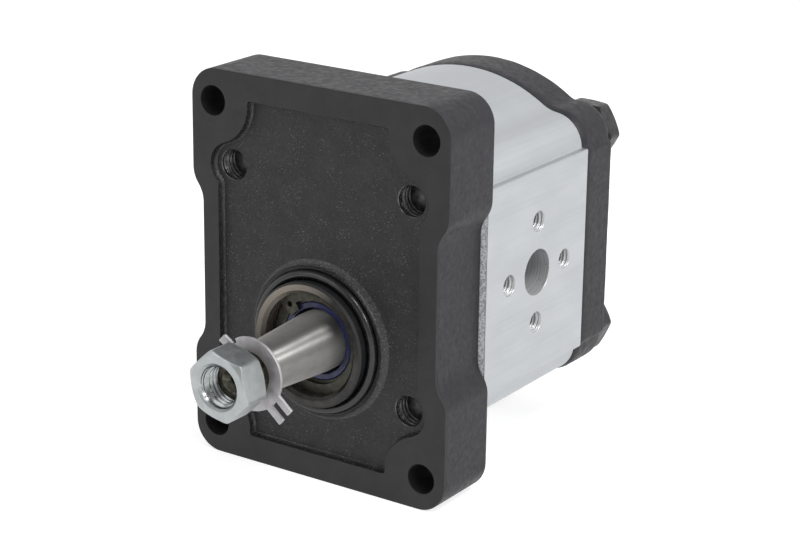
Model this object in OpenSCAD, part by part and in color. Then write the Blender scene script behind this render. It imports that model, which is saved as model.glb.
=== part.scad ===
// External gear pump with a cast mounting flange, an aluminium body and a tapered drive shaft.
// The origin is on the drive shaft's axis, in the plane of the mounting face.
// +Y runs from the mounting face to the rear cover, +Z points to the driven gear,
// and +X points to the pressure port. All sizes are in millimetres.

/* [Mounting flange] */
// Distance from the mounting holes to the flange's sides
mount_edge_x = 7.55; // [6.5:0.05:10]
// Distance from the mounting holes to the flange's top and bottom
mount_edge_z = 9.3; // [8.5:0.05:12]
// Thickness of the flange
flange_t = 22; // [20:0.5:26]
// Radius of the flange's four corners
flange_corner_r = 8.5; // [4:0.5:11]
// How far each long side steps in at the waist
waist_inset = 3.5; // [2:0.1:4.5]
// Half of the height of the straight waist
waist_half_h = 18; // [14:0.5:22]
// Radius of the two arcs that blend the waist into the ends
waist_blend_r = 8; // [5:0.5:10]
// Sideways pitch of the mounting holes
mount_pitch_x = 71.5; // [70:0.1:73]
// Upright pitch of the mounting holes
mount_pitch_z = 96; // [94:0.1:98]
// Diameter of the mounting holes
mount_hole_d = 8.5; // [7:0.1:9.5]

/* [Cast pocket in the mounting face] */
// Depth of the pocket
pocket_depth = 2; // [1:0.1:3]
// Width of the machined band at the top and the bottom
pocket_end_band = 7.7; // [6.5:0.1:9]
// Width of the machined band along each side
pocket_side_band = 9.1; // [8:0.1:10.5]
// Radius of the machined land round each mounting hole
land_r = 12.1; // [11.2:0.1:12.6]

/* [Pilot and seal housing] */
// Diameter of the pilot spigot
pilot_d = 36.5; // [36:0.1:37.5]
// Height of the pilot above the mounting face
pilot_h = 4.5; // [4:0.1:6]
// Chamfer on the pilot's outer edge
pilot_chamfer = 0.65; // [0.3:0.05:0.9]
// Depth of the relief in the pilot under the ring seal
pilot_relief = 0.25; // [0.15:0.05:0.4]
// Diameter of the raised collar at the mounting face
collar_d = 43; // [42.8:0.1:45]
// How much further out the collar reaches on the pocket's floor
collar_draft = 1.8; // [0.5:0.1:3]
// Diameter of the bore for the shaft seal
seal_bore_d = 30; // [29:0.1:30.6]
// Chamfer at the mouth of the seal bore
seal_bore_chamfer = 1; // [0.5:0.1:1.2]
// Depth of the retaining ring below the pilot's end face
ring_depth = 3.9; // [3:0.1:5]
// Diameter of the opening for the shaft behind the seal
shaft_passage_d = 24; // [22:0.5:26]

/* [Body] */
// Length of the extruded body
body_len = 53.6; // [50:0.2:70]
// Radius of the body's top and bottom arcs
body_r = 48.8; // [47:0.2:50.4]
// Radius of the ear round each through bolt
body_ear_r = 8.7; // [7.5:0.1:10]
// Width across the two machined port pads
pad_w = 83.5; // [82:0.1:86]
// Half of the height of the port pads
pad_half_h = 30.3; // [29:0.1:31]

/* [Ports] */
// Diameter of the pressure port
pressure_d = 13.5; // [10:0.5:15]
// Bolt circle of the pressure port
pressure_pcd = 30; // [28:0.5:32]
// Thread size of the pressure port's holes
pressure_thread = 6; // [5:0.5:6.5]
// Depth of the pressure port's threaded holes
pressure_thread_depth = 13; // [10:0.5:15]
// Diameter of the suction port
suction_d = 20; // [16:0.5:22]
// Diameter of the suction passage where it meets the gears
suction_inner_d = 16; // [12:0.5:17]
// Depth of the wide part of the suction port
suction_wide_depth = 14; // [10:0.5:16]
// Bolt circle of the suction port
suction_pcd = 40; // [38:0.5:41]
// Thread size of the suction port's holes
suction_thread = 8; // [6:0.5:8.5]
// Depth of the suction port's threaded holes
suction_thread_depth = 13; // [10:0.5:14]
// Countersink at the mouth of each threaded hole
thread_countersink = 0.6; // [0.3:0.1:0.8]

/* [Rear cover] */
// Thickness of the cover
cover_t = 14.6; // [11:0.1:20]
// How far the cover's top and bottom arcs lie outside the body's
cover_rise = 0.4; // [0:0.1:1.2]
// How far the cover's ears lie outside the body's
cover_ear_rise = 1.6; // [1:0.1:2.2]
// How far the cover's sides lie inside the faces of the port pads
cover_side_step = 0.15; // [0:0.05:0.6]

/* [Through bolts] */
// Pitch of the through bolts, the same sideways and upright
bolt_pitch = 60; // [59:0.1:61]
// Thread size of the through bolts
bolt_d = 10; // [8:0.5:10.5]
// Width across flats of the bolt heads
bolt_head_af = 17; // [16:0.5:18]
// Height of the bolt heads
bolt_head_h = 6.4; // [5:0.1:8]
// Direction of one corner of the bolt heads in degrees
bolt_head_angle = -3; // [-30:1:30]
// Outer diameter of the spring washers
bolt_washer_d = 18.1; // [17:0.1:20]
// Thickness of the spring washers when tight
bolt_washer_t = 2; // [1.5:0.1:2.5]
// Width of the slit in the spring washers
bolt_washer_slit = 1.4; // [0.8:0.1:2]
// Depth of the bolt's tip below the mounting face
bolt_tip_depth = 8.5; // [6:0.5:12]
// Clearance of the bolts in the body and the cover, on diameter
bolt_clearance = 0.6; // [0.3:0.1:1]
// Clearance of the bolt's thread in the flange, on diameter
thread_clearance = 0.1; // [0.06:0.02:0.2]
// Diameter of the dowel pins
dowel_d = 5; // [4:0.5:5.5]
// Length of the dowel pins
dowel_len = 10; // [8:0.5:12]
// Sideways place of the dowel pins from the centre of the body
dowel_x = 24; // [23:0.5:25]
// Upright place of the dowel pins from the centre of the body
dowel_z = 37; // [36:0.5:38]

/* [Gears] */
// Number of teeth on each gear
teeth = 12; // [12:1:13]
// Module of the teeth
gear_module = 2.6; // [2.5:0.02:2.64]
// Pressure angle of the teeth in degrees
pressure_angle = 25; // [24:0.5:26]
// Height of a tooth above the pitch circle
addendum = 2.4; // [2.2:0.05:2.5]
// Depth of a tooth below the pitch circle
dedendum = 2.7; // [2.65:0.05:2.9]
// Width of the gears
gear_w = 18; // [12:0.5:24]
// Play between two teeth in mesh, measured on the pitch circle
backlash = 0.24; // [0.16:0.02:0.4]
// Clearance round the gears' tips
tip_clearance = 0.2; // [0.1:0.02:0.3]
// Clearance between the gears' ends and the bearing blocks
side_clearance = 0.05; // [0.02:0.01:0.1]

/* [Bearings] */
// Diameter of the shafts' journals
journal_d = 18; // [16:0.2:18.4]
// Running clearance of the journals in the bushes, on radius
journal_clearance = 0.03; // [0.02:0.01:0.05]
// Wall of the plain bushes
bush_wall = 1.5; // [1:0.1:1.8]
// Clearance of the bearing blocks in the body, on radius
block_clearance = 0.05; // [0.03:0.01:0.08]
// How far the journals end short of the cover
journal_end_gap = 0.9; // [0.5:0.1:2]
// Depth of the trapped oil relief in each block
relief_depth = 1.5; // [1:0.1:2]
// Width of the trapped oil relief
relief_w = 6; // [4:0.5:7]

/* [Seals] */
// Width of the shaft seal along the shaft
seal_w = 7; // [6:0.5:8]
// Sheet thickness of the shaft seal's case
seal_case_t = 0.8; // [0.6:0.1:1]
// Outer diameter of the shaft seal's rubber sleeve
seal_sleeve_d = 22.8; // [22.2:0.1:23.4]
// Thickness of the garter spring
garter_t = 1.3; // [1:0.1:1.5]
// Clearance of the seal lip on the shaft, on radius
lip_clearance = 0.05; // [0.02:0.01:0.08]
// Section of the ring seal round the pilot
oring_t = 2.62; // [2.3:0.02:2.66]
// Height of the ring seal above the mounting face
oring_proud = 1.9; // [1.4:0.1:2]
// Thickness of the retaining ring
ring_t = 1.2; // [1:0.1:1.5]
// Radial width of the retaining ring
ring_w = 3.4; // [3:0.1:3.8]
// How deep the retaining ring sits in its groove
ring_groove = 0.7; // [0.5:0.05:0.9]
// Width of the body's end seals
end_seal_w = 2.2; // [1.6:0.1:2.6]
// Height of the body's end seals
end_seal_h = 1.7; // [1.4:0.1:2.2]
// Wall between the gear chamber and the end seal
end_seal_wall = 2; // [1.6:0.1:2.6]
// Width of the balance seals on the bearing blocks
balance_seal_w = 1.6; // [1.2:0.1:1.7]
// Height of the balance seals
balance_seal_h = 1.8; // [1.4:0.1:2.2]
// Width of the backup rings
backup_w = 0.9; // [0.6:0.1:1]
// Wall between a bush and the balance seal
balance_seal_wall = 2; // [1.6:0.1:2.2]

/* [Drive shaft end] */
// Diameter of the shaft at the seal and at the large end of the taper
taper_d = 17.5; // [16:0.1:17.6]
// Distance of the taper's large end in front of the mounting face
taper_start = 1; // [0.5:0.1:3]
// Length of the taper
taper_len = 28.3; // [24:0.1:30]
// Taper on diameter, one part in this many
taper_ratio = 8; // [8:0.5:10]
// Thread size of the shaft end
shaft_thread = 12; // [10:0.5:12.5]
// Length of the threaded end
shaft_thread_len = 8.3; // [7:0.1:14]
// Diameter of the centre hole in the shaft end
centre_hole_d = 3.2; // [2:0.1:4]
// Depth of the centre hole
centre_hole_depth = 4; // [3:0.1:6]
// Width of the shaft key
key_w = 3; // [2.5:0.1:4]
// Diameter of the half moon key
key_d = 16; // [13:0.5:17]
// How far the key stands above the taper
key_proud = 1.4; // [1:0.1:1.8]
// How deep the key sits below the taper
key_sunk = 3.6; // [3:0.1:4]
// Distance of the key's centre in front of the mounting face
key_place = 16; // [14:0.5:18]
// Clearance of the key in its slot
key_clearance = 0.04; // [0.02:0.01:0.08]
// Direction of the key round the shaft in degrees
key_angle = 210; // [0:5:355]

/* [Nut and tab washer] */
// Width across flats of the nut
nut_af = 18; // [17:0.5:19]
// Height of the nut
nut_h = 9.3; // [8:0.1:12]
// Distance from the taper's small end to the nut
nut_place = 5.3; // [3:0.1:5.5]
// Direction of one corner of the nut in degrees
nut_angle = 44.4; // [0:0.1:60]
// Diameter of the circle where the nut's chamfer starts
nut_chamfer_d = 17.2; // [16.4:0.1:17.8]
// Outer diameter of the tab washer
washer_d = 20.8; // [19:0.1:22]
// Thickness of the tab washer
washer_t = 1; // [0.6:0.1:1.5]
// Play of the tab washer on the thread, on diameter
washer_play = 1; // [0.4:0.1:1.4]
// Direction of the two prongs in degrees
prong_angle = -40; // [-90:1:90]
// Width of each prong
prong_w = 2; // [1.4:0.1:2.6]
// Space between the two prongs
prong_gap = 2.2; // [1.5:0.1:3]
// Distance of the prongs' tips from the washer's centre
prong_reach = 15.4; // [13:0.1:17]
// Direction of the single tab in degrees
tab_angle = 136; // [90:1:180]
// Width of the single tab
tab_w = 2.8; // [2:0.1:4]
// Distance of the tab's tip from the washer's centre
tab_reach = 12.7; // [12:0.1:14]
// Forward bend of the single tab in degrees
tab_bend = 12; // [0:1:30]

/* [Hidden] */
$fn = 96;
// How far a cut runs past the surface that it opens
over = 1;
// Fit of a sealed piece in its groove
groove_fit = 0.05;

// Gear pair
pitch_r = gear_module * teeth / 2;
centre_distance = gear_module * teeth;
base_r = pitch_r * cos(pressure_angle);
tip_r = pitch_r + addendum;
root_r = pitch_r - dedendum;
chamber_r = tip_r + tip_clearance;
pitch_step = 360 / teeth;
half_play_angle = backlash / 4 / pitch_r * 180 / PI;
flank_steps = 6;

// The flange, the body and the cover are centred between the two gears
mid_z = centre_distance / 2;

// Stack along the shaft
body_y0 = flange_t;
body_y1 = flange_t + body_len;
cover_y1 = body_y1 + cover_t;
head_y0 = cover_y1 + bolt_washer_t;
head_y1 = head_y0 + bolt_head_h;
mid_y = (body_y0 + body_y1) / 2;
gear_y0 = mid_y - gear_w / 2;
gear_y1 = mid_y + gear_w / 2;
front_block_y1 = gear_y0 - side_clearance;
rear_block_y0 = gear_y1 + side_clearance;
journal_y1 = body_y1 - journal_end_gap;
journal_y0 = body_y0 + journal_end_gap;
cover_w = pad_w - 2 * cover_side_step;
cover_r = body_r + cover_rise;
cover_ear_r = body_ear_r + cover_ear_rise;

// Bearings
journal_r = journal_d / 2;
bush_in_r = journal_r + journal_clearance;
bush_out_r = bush_in_r + bush_wall;
block_r = chamber_r - block_clearance;

// Seal stack in the pilot
ring_y0 = ring_depth - pilot_h;
ring_y1 = ring_y0 + ring_t;
seal_y0 = ring_y1;
seal_y1 = seal_y0 + seal_w;
seal_r = seal_bore_d / 2;
ring_out_r = seal_r + ring_groove - groove_fit;
ring_in_r = ring_out_r - ring_w;
lug_in_r = taper_d / 2 + 1.3;
ring_gap_angle = 160;
ring_gap_half = 18;
lug_span = 19;
lug_hole_d = 1.7;
lip_r = taper_d / 2 + lip_clearance;
sleeve_r = seal_sleeve_d / 2;
garter_ring_r = sleeve_r - garter_t / 2 + 0.45;
garter_y = seal_y0 + seal_w * 0.58;

// Ring seal round the pilot
oring_ring_r = (pilot_d + oring_t) / 2;
oring_y = oring_t / 2 - oring_proud;
oring_groove_w = oring_t + 0.15;
oring_floor_y = oring_y + oring_t / 2;
relief_y = -oring_proud - 0.1;

// End seals and balance seals
end_seal_in_r = chamber_r + end_seal_wall;
end_seal_out_r = end_seal_in_r + end_seal_w;
balance_in_r = bush_out_r + balance_seal_wall;
balance_out_r = balance_in_r + balance_seal_w;
backup_out_r = balance_out_r + backup_w;
balance_open_x = -7;
balance_bridge_w = 3;
backup_bar_x = balance_bridge_w / 2 + groove_fit;

// Flange outline
flange_half_w = mount_pitch_x / 2 + mount_edge_x;
flange_half_h = mount_pitch_z / 2 + mount_edge_z;
waist_half_w = flange_half_w - waist_inset;
// The two arcs of each blend cross a little instead of only touching
waist_overlap = 0.03;
waist_arc_span = 2 * waist_blend_r - waist_overlap;
waist_run = sqrt(pow(waist_arc_span, 2) - pow(2 * waist_blend_r - waist_inset, 2));
waist_full_z = waist_half_h + waist_run;
pocket_half_h = flange_half_h - pocket_end_band;
pocket_half_w = flange_half_w - pocket_side_band;

// Holes
bolt_half = bolt_pitch / 2;
mount_half_x = mount_pitch_x / 2;
mount_half_z = mount_pitch_z / 2;
hole_step_x = mount_half_x - bolt_half;
hole_step_z = mount_half_z - bolt_half;
hole_step = sqrt(hole_step_x * hole_step_x + hole_step_z * hole_step_z);
bulge_r = hole_step - land_r;
pocket_corner_x = bolt_half + bulge_r * hole_step_x / hole_step;
bolt_hole_r = (bolt_d + bolt_clearance) / 2;
bolt_r = (bolt_d - thread_clearance) / 2;
bolt_chamfer = 1.2;
washer_hole_r = bolt_d / 2 + 0.1;
dowel_fit = 0.02;

// Shaft end
taper_r = taper_d / 2;
taper_y0 = -taper_start - taper_len;
taper_small_r = taper_r - taper_len / taper_ratio / 2;
shaft_thread_r = (shaft_thread - thread_clearance) / 2;
shaft_end_y = taper_y0 - shaft_thread_len;
shaft_end_chamfer = 0.9;
key_taper_r = taper_r - (key_place - taper_start) / taper_ratio / 2;
key_disc_x = key_taper_r - key_sunk + key_d / 2;
shaft_end_edge = 0.5;
journal_edge_r = journal_r - shaft_end_edge;

// Nut and washer
nut_y1 = taper_y0 - nut_place;
nut_y0 = nut_y1 - nut_h;
nut_countersink = 0.7;
washer_y1 = taper_y0;
washer_y0 = washer_y1 - washer_t;
washer_in_r = (shaft_thread + washer_play) / 2;
washer_offset = polar(washer_play / 2 - 0.1, prong_angle);
tab_root_r = washer_d / 2 - 1.4;

iron = [0.23, 0.23, 0.235];
aluminium = [0.78, 0.8, 0.82];
steel = [0.5, 0.5, 0.49];
zinc = [0.84, 0.87, 0.87];
bronze = [0.66, 0.5, 0.3];
rubber = [0.07, 0.07, 0.07];
blue_rubber = [0.17, 0.17, 0.4];
spring_steel = [0.35, 0.35, 0.27];
white_plastic = [0.9, 0.9, 0.86];

function polar(r, angle) = [r * cos(angle), r * sin(angle)];

// Extrudes a shape that is drawn as seen from the front, from y0 back to y1
module slab(y0, y1) {
    translate([0, y1, 0])
        rotate([90, 0, 0])
            linear_extrude(height = y1 - y0)
                children();
}

// Turns a profile of [radius, y] points about the shaft's axis
module turned(points) {
    rotate([-90, 0, 0])
        rotate_extrude()
            polygon(points);
}

// A round bar or cutter along Y
module bar_y(x, z, r, y0, y1) {
    translate([x, y0, z])
        rotate([-90, 0, 0])
            cylinder(r = r, h = y1 - y0);
}

// A cone along Y, with one radius at y0 and one at y1
module cone_y(x, z, r0, r1, y0, y1) {
    translate([x, y0, z])
        rotate([-90, 0, 0])
            cylinder(r1 = r0, r2 = r1, h = y1 - y0);
}

// A ring of rectangular section about an axis along Y
module sleeve_y(z, r_in, r_out, y0, y1) {
    difference() {
        bar_y(0, z, r_out, y0, y1);
        bar_y(0, z, r_in, y0 - over, y1 + over);
    }
}

// Repeats its children in the four quarters round the centre of the body
module four_quarters() {
    translate([0, 0, mid_z])
        for (sx = [0, 1], sz = [0, 1])
            mirror([sx, 0, 0])
                mirror([0, 0, sz])
                    children();
}

// The same in a shape drawn from the front
module four_corners() {
    translate([0, mid_z])
        for (sx = [0, 1], sz = [0, 1])
            mirror([sx, 0])
                mirror([0, sz])
                    children();
}

// One quarter of the flange, from the centre of the rectangle outwards
module flange_quarter() {
    difference() {
        union() {
            square([flange_half_w, waist_half_h + waist_run / 2]);
            square([flange_half_w - waist_blend_r, waist_full_z]);
            translate([flange_half_w - waist_blend_r, waist_full_z])
                circle(r = waist_blend_r);
        }
        translate([waist_half_w + waist_blend_r, waist_half_h])
            circle(r = waist_blend_r);
        translate([waist_half_w, -over])
            square([waist_inset + over, waist_half_h + over]);
    }
    translate([0, waist_full_z])
        square([flange_half_w, flange_half_h - waist_full_z - flange_corner_r]);
    square([flange_half_w - flange_corner_r, flange_half_h]);
    translate([flange_half_w - flange_corner_r, flange_half_h - flange_corner_r])
        circle(r = flange_corner_r);
}

module flange_outline() {
    four_corners()
        flange_quarter();
}

// One quarter of the cast pocket: it swings in round the mounting hole and out round the bolt hole
module pocket_quarter() {
    difference() {
        square([pocket_corner_x, pocket_half_h]);
        translate([mount_half_x, mount_half_z])
            circle(r = land_r);
    }
    square([pocket_half_w, bolt_half]);
    translate([bolt_half, bolt_half])
        circle(r = bulge_r);
}

module pocket_outline() {
    four_corners()
        pocket_quarter();
}

// Four round ears, one for each through bolt
module four_ears(r) {
    for (sx = [-1, 1], sz = [-1, 1])
        translate([sx * bolt_half, mid_z + sz * bolt_half])
            circle(r = r);
}

module body_outline() {
    translate([0, mid_z]) {
        intersection() {
            circle(r = body_r);
            square([bolt_pitch, 2 * body_r], center = true);
        }
        square([pad_w, 2 * pad_half_h], center = true);
    }
    four_ears(body_ear_r);
}

module cover_outline() {
    translate([0, mid_z]) {
        intersection() {
            circle(r = cover_r);
            square([bolt_pitch, 2 * cover_r], center = true);
        }
        square([cover_w, bolt_pitch], center = true);
    }
    four_ears(cover_ear_r);
}

// Two circles of one radius, about the drive shaft and the driven shaft
module twin_circles(r) {
    circle(r = r);
    translate([0, centre_distance])
        circle(r = r);
}

module racetrack(r) {
    twin_circles(r);
    translate([-r, 0])
        square([2 * r, centre_distance]);
}

module through_holes(y0, y1) {
    four_quarters()
        bar_y(bolt_half, bolt_half, bolt_hole_r, y0 - over, y1 + over);
}

// The two dowel pins stand at opposite corners
module dowel_pair(r, y0, y1) {
    bar_y(dowel_x, mid_z + dowel_z, r, y0, y1);
    bar_y(-dowel_x, mid_z - dowel_z, r, y0, y1);
}

module front_flange() {
    color(iron)
    difference() {
        union() {
            difference() {
                slab(0, flange_t)
                    flange_outline();
                slab(-over, pocket_depth)
                    pocket_outline();
            }
            cone_y(0, 0, collar_d / 2, collar_d / 2 + collar_draft, 0, pocket_depth);
            bar_y(0, 0, collar_d / 2 + collar_draft, pocket_depth, pocket_depth + over);
            bar_y(0, 0, pilot_d / 2, pilot_chamfer - pilot_h, over);
            cone_y(0, 0, pilot_d / 2 - pilot_chamfer, pilot_d / 2, -pilot_h, pilot_chamfer - pilot_h);
        }
        difference() {
            bar_y(0, 0, pilot_d / 2 + oring_groove_w, relief_y, oring_floor_y);
            bar_y(0, 0, pilot_d / 2 - pilot_relief, -pilot_h, flange_t);
        }
        bar_y(0, 0, seal_r, -pilot_h - over, seal_y1);
        cone_y(0, 0, seal_r + seal_bore_chamfer, seal_r, -pilot_h, seal_bore_chamfer - pilot_h);
        bar_y(0, 0, seal_r + ring_groove, ring_y0 - groove_fit, ring_y1 + groove_fit);
        bar_y(0, 0, shaft_passage_d / 2, 0, flange_t + over);
        four_quarters() {
            bar_y(mount_half_x, mount_half_z, mount_hole_d / 2, -over, flange_t + over);
            bar_y(bolt_half, bolt_half, bolt_d / 2, 0, flange_t + over);
        }
        dowel_pair(dowel_d / 2 + dowel_fit, flange_t - dowel_len / 2 - dowel_fit, flange_t + over);
    }
}

// A threaded hole with a countersink, drilled in from a port face along X
module port_thread(d, depth) {
    translate([-depth, 0, 0])
        rotate([0, 90, 0])
            cylinder(d = d, h = depth + over);
    translate([-thread_countersink, 0, 0])
        rotate([0, 90, 0])
            cylinder(r1 = d / 2, r2 = d / 2 + thread_countersink, h = thread_countersink);
}

// Four threaded holes in a cross round a port
module port_threads(pcd, d, depth) {
    for (quarter = [0 : 3])
        rotate([90 * quarter, 0, 0])
            translate([0, pcd / 2, 0])
                port_thread(d, depth);
}

module port_passages() {
    translate([0, mid_y, mid_z]) {
        rotate([0, 90, 0])
            cylinder(d = pressure_d, h = pad_w / 2 + over);
        translate([pad_w / 2, 0, 0])
            port_threads(pressure_pcd, pressure_thread, pressure_thread_depth);
        mirror([1, 0, 0]) {
            rotate([0, 90, 0])
                cylinder(d = suction_inner_d, h = pad_w / 2 + over);
            translate([pad_w / 2 - suction_wide_depth, 0, 0])
                rotate([0, 90, 0])
                    cylinder(d = suction_d, h = suction_wide_depth + over);
            translate([pad_w / 2, 0, 0])
                port_threads(suction_pcd, suction_thread, suction_thread_depth);
        }
    }
}

module pump_body() {
    color(aluminium)
    difference() {
        slab(body_y0, body_y1)
            body_outline();
        slab(body_y0 - over, body_y1 + over)
            twin_circles(chamber_r);
        end_seal_ring(body_y0 - over, body_y0 + end_seal_h, groove_fit);
        end_seal_ring(body_y1 - end_seal_h, body_y1 + over, groove_fit);
        port_passages();
        through_holes(body_y0, body_y1);
        dowel_pair(dowel_d / 2 + dowel_fit, body_y0 - over, body_y0 + dowel_len / 2 + dowel_fit);
        dowel_pair(dowel_d / 2 + dowel_fit, body_y1 - dowel_len / 2 - dowel_fit, body_y1 + over);
    }
}

module rear_cover() {
    color(iron)
    difference() {
        slab(body_y1, cover_y1)
            cover_outline();
        through_holes(body_y1, cover_y1);
        dowel_pair(dowel_d / 2 + dowel_fit, body_y1 - over, body_y1 + dowel_len / 2 + dowel_fit);
    }
}

// A hexagonal bar along Y, with one corner in the direction of turn and both ends chamfered
// by cones that leave a flat face of radius face_r
module chamfered_hexagon(af, y0, y1, turn, face_r) {
    corner_r = af / sqrt(3);
    reach = corner_r + over;
    drop = (reach - face_r) * tan(30);
    apex_r = face_r - over / tan(30);
    intersection() {
        translate([0, y1, 0])
            rotate([90, 0, 0])
                rotate([0, 0, turn])
                    cylinder(r = corner_r, h = y1 - y0, $fn = 6);
        turned([[0, y0 - over], [apex_r, y0 - over], [reach, y0 + drop],
            [reach, y1 - drop], [apex_r, y1 + over], [0, y1 + over]]);
    }
}

// A bolt on the shaft's own axis: the shank runs from its tip to the head behind the spring washer
module through_bolt() {
    tip = bolt_tip_depth;
    turned([[0, tip], [bolt_r - bolt_chamfer, tip], [bolt_r, tip + bolt_chamfer],
        [bolt_r, head_y0 + over], [0, head_y0 + over]]);
    chamfered_hexagon(bolt_head_af, head_y0, head_y1, bolt_head_angle, bolt_head_af / 2 * 0.97);
}

module through_bolts() {
    color(iron)
    four_quarters()
        translate([bolt_half, 0, bolt_half])
            through_bolt();
}

// Split spring washers, pressed flat between the cover and the bolt heads
module spring_washers() {
    color(iron)
    four_quarters()
        translate([bolt_half, 0, bolt_half])
            difference() {
                sleeve_y(0, washer_hole_r, bolt_washer_d / 2, cover_y1, head_y0);
                translate([-bolt_washer_slit / 2, cover_y1 - over, 0])
                    cube([bolt_washer_slit, bolt_washer_t + 2 * over, bolt_washer_d]);
            }
}

module front_dowels() {
    color(steel)
    dowel_pair(dowel_d / 2, body_y0 - dowel_len / 2, body_y0 + dowel_len / 2);
}

module rear_dowels() {
    color(steel)
    dowel_pair(dowel_d / 2, body_y1 - dowel_len / 2, body_y1 + dowel_len / 2);
}

module pilot_oring() {
    color(rubber)
    rotate([-90, 0, 0])
        rotate_extrude()
            translate([oring_ring_r, oring_y])
                circle(d = oring_t);
}

module shaft_seal_case() {
    wall_r = seal_r - seal_case_t;
    color(spring_steel)
    turned([[sleeve_r, seal_y0], [seal_r, seal_y0], [seal_r, seal_y1], [wall_r, seal_y1],
        [wall_r, seal_y0 + seal_case_t], [sleeve_r, seal_y0 + seal_case_t]]);
}

// The rubber sleeve starts on the case, runs back and touches the shaft under the garter spring
module shaft_seal_lip() {
    seat_r = garter_ring_r - garter_t / 2 - groove_fit;
    lip_back = garter_y + garter_t;
    color(blue_rubber)
    turned([[lip_r + 0.8, seal_y0], [sleeve_r, seal_y0], [sleeve_r, seal_y0 + seal_case_t + 0.6],
        [seat_r, seal_y0 + seal_case_t + 1.4], [seat_r, lip_back], [lip_r + 0.9, lip_back],
        [lip_r, garter_y], [lip_r + 0.8, seal_y0 + seal_case_t + 1]]);
}

module seal_garter_spring() {
    color(steel)
    rotate([-90, 0, 0])
        rotate_extrude()
            translate([garter_ring_r, garter_y])
                circle(d = garter_t);
}

// A fan between two directions, wide enough to cover the retaining ring
module fan(start, span) {
    reach = 2 * ring_out_r;
    polygon([[0, 0], polar(reach, start), polar(reach, start + span / 2), polar(reach, start + span)]);
}

module seal_retaining_ring() {
    lug_mid_r = (lug_in_r + ring_out_r) / 2;
    color(spring_steel)
    slab(ring_y0, ring_y1)
        difference() {
            circle(r = ring_out_r);
            difference() {
                circle(r = ring_in_r);
                fan(ring_gap_angle - ring_gap_half - lug_span, 2 * (ring_gap_half + lug_span));
            }
            circle(r = lug_in_r);
            fan(ring_gap_angle - ring_gap_half, 2 * ring_gap_half);
            for (side = [-1, 1])
                translate(polar(lug_mid_r, ring_gap_angle + side * (ring_gap_half + lug_span / 2)))
                    circle(d = lug_hole_d);
        }
}

// A seal that runs round both gears in the end face of the body
module end_seal_ring(y0, y1, fit) {
    slab(y0, y1)
        difference() {
            racetrack(end_seal_out_r + fit);
            racetrack(end_seal_in_r - fit);
        }
}

module front_body_seal() {
    color(rubber)
    end_seal_ring(body_y0, body_y0 + end_seal_h, 0);
}

module rear_body_seal() {
    color(rubber)
    end_seal_ring(body_y1 - end_seal_h, body_y1, 0);
}

// Two arcs joined between the shafts and open towards the suction side, like a figure three
module balance_outline(r_in, r_out) {
    difference() {
        union() {
            twin_circles(r_out);
            translate([-balance_bridge_w / 2, r_in])
                square([balance_bridge_w, centre_distance - 2 * r_in]);
        }
        twin_circles(r_in);
        translate([balance_open_x - 3 * r_out, -2 * r_out])
            square([3 * r_out, centre_distance + 4 * r_out]);
    }
}

module balance_groove(y0, y1) {
    slab(y0, y1) {
        balance_outline(balance_in_r - groove_fit, backup_out_r + groove_fit);
        translate([0, balance_in_r])
            square([backup_bar_x + backup_w + groove_fit, centre_distance - 2 * balance_in_r]);
    }
}

// Trapped oil escapes through two shallow slots beside the line of the shafts
module relief_slots(y0, y1) {
    for (side = [-1, 1])
        translate([side * (pitch_r / 3 + relief_w / 2) - relief_w / 2, y0, mid_z - relief_w / 2])
            cube([relief_w, y1 - y0, relief_w]);
}

module bearing_block(y0, y1) {
    difference() {
        slab(y0, y1)
            twin_circles(block_r);
        slab(y0 - over, y1 + over)
            twin_circles(bush_out_r);
    }
}

module front_bearing_block() {
    color(aluminium)
    difference() {
        bearing_block(body_y0, front_block_y1);
        balance_groove(body_y0 - over, body_y0 + balance_seal_h);
        relief_slots(front_block_y1 - relief_depth, front_block_y1 + over);
    }
}

module rear_bearing_block() {
    color(aluminium)
    difference() {
        bearing_block(rear_block_y0, body_y1);
        balance_groove(body_y1 - balance_seal_h, body_y1 + over);
        relief_slots(rear_block_y0 - over, rear_block_y0 + relief_depth);
    }
}

module bush(z, y0, y1) {
    color(bronze)
    sleeve_y(z, bush_in_r, bush_out_r, y0, y1);
}

module front_drive_bush() {
    bush(0, body_y0, front_block_y1);
}

module front_driven_bush() {
    bush(centre_distance, body_y0, front_block_y1);
}

module rear_drive_bush() {
    bush(0, rear_block_y0, body_y1);
}

module rear_driven_bush() {
    bush(centre_distance, rear_block_y0, body_y1);
}

module front_balance_seal() {
    color(rubber)
    slab(body_y0, body_y0 + balance_seal_h)
        balance_outline(balance_in_r, balance_out_r);
}

module rear_balance_seal() {
    color(rubber)
    slab(body_y1 - balance_seal_h, body_y1)
        balance_outline(balance_in_r, balance_out_r);
}

// The backup ring lies round the outside of the balance seal, in two arcs joined by a straight bar
module backup_outline() {
    difference() {
        union() {
            twin_circles(backup_out_r);
            translate([backup_bar_x, balance_in_r])
                square([backup_w, centre_distance - 2 * balance_in_r]);
        }
        twin_circles(balance_out_r + groove_fit);
        translate([backup_bar_x - 3 * backup_out_r, -2 * backup_out_r])
            square([3 * backup_out_r, centre_distance + 4 * backup_out_r]);
    }
}

module front_backup_ring() {
    color(white_plastic)
    slab(body_y0, body_y0 + balance_seal_h)
        backup_outline();
}

module rear_backup_ring() {
    color(white_plastic)
    slab(body_y1 - balance_seal_h, body_y1)
        backup_outline();
}

// Angle that the involute has unwound by at a radius
function unwound(r) = let(a = acos(min(1, base_r / r))) tan(a) * 180 / PI - a;

// Half of the angle that a tooth covers at a radius
function half_tooth(r) = 90 / teeth - half_play_angle + unwound(pitch_r) - unwound(r);

function flank_radius(step) = base_r + (tip_r - base_r) * step / flank_steps;

// A point on one side of a tooth: side is -1 or 1
function flank_point(r, middle, side) = polar(r, middle + side * half_tooth(r));

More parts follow.
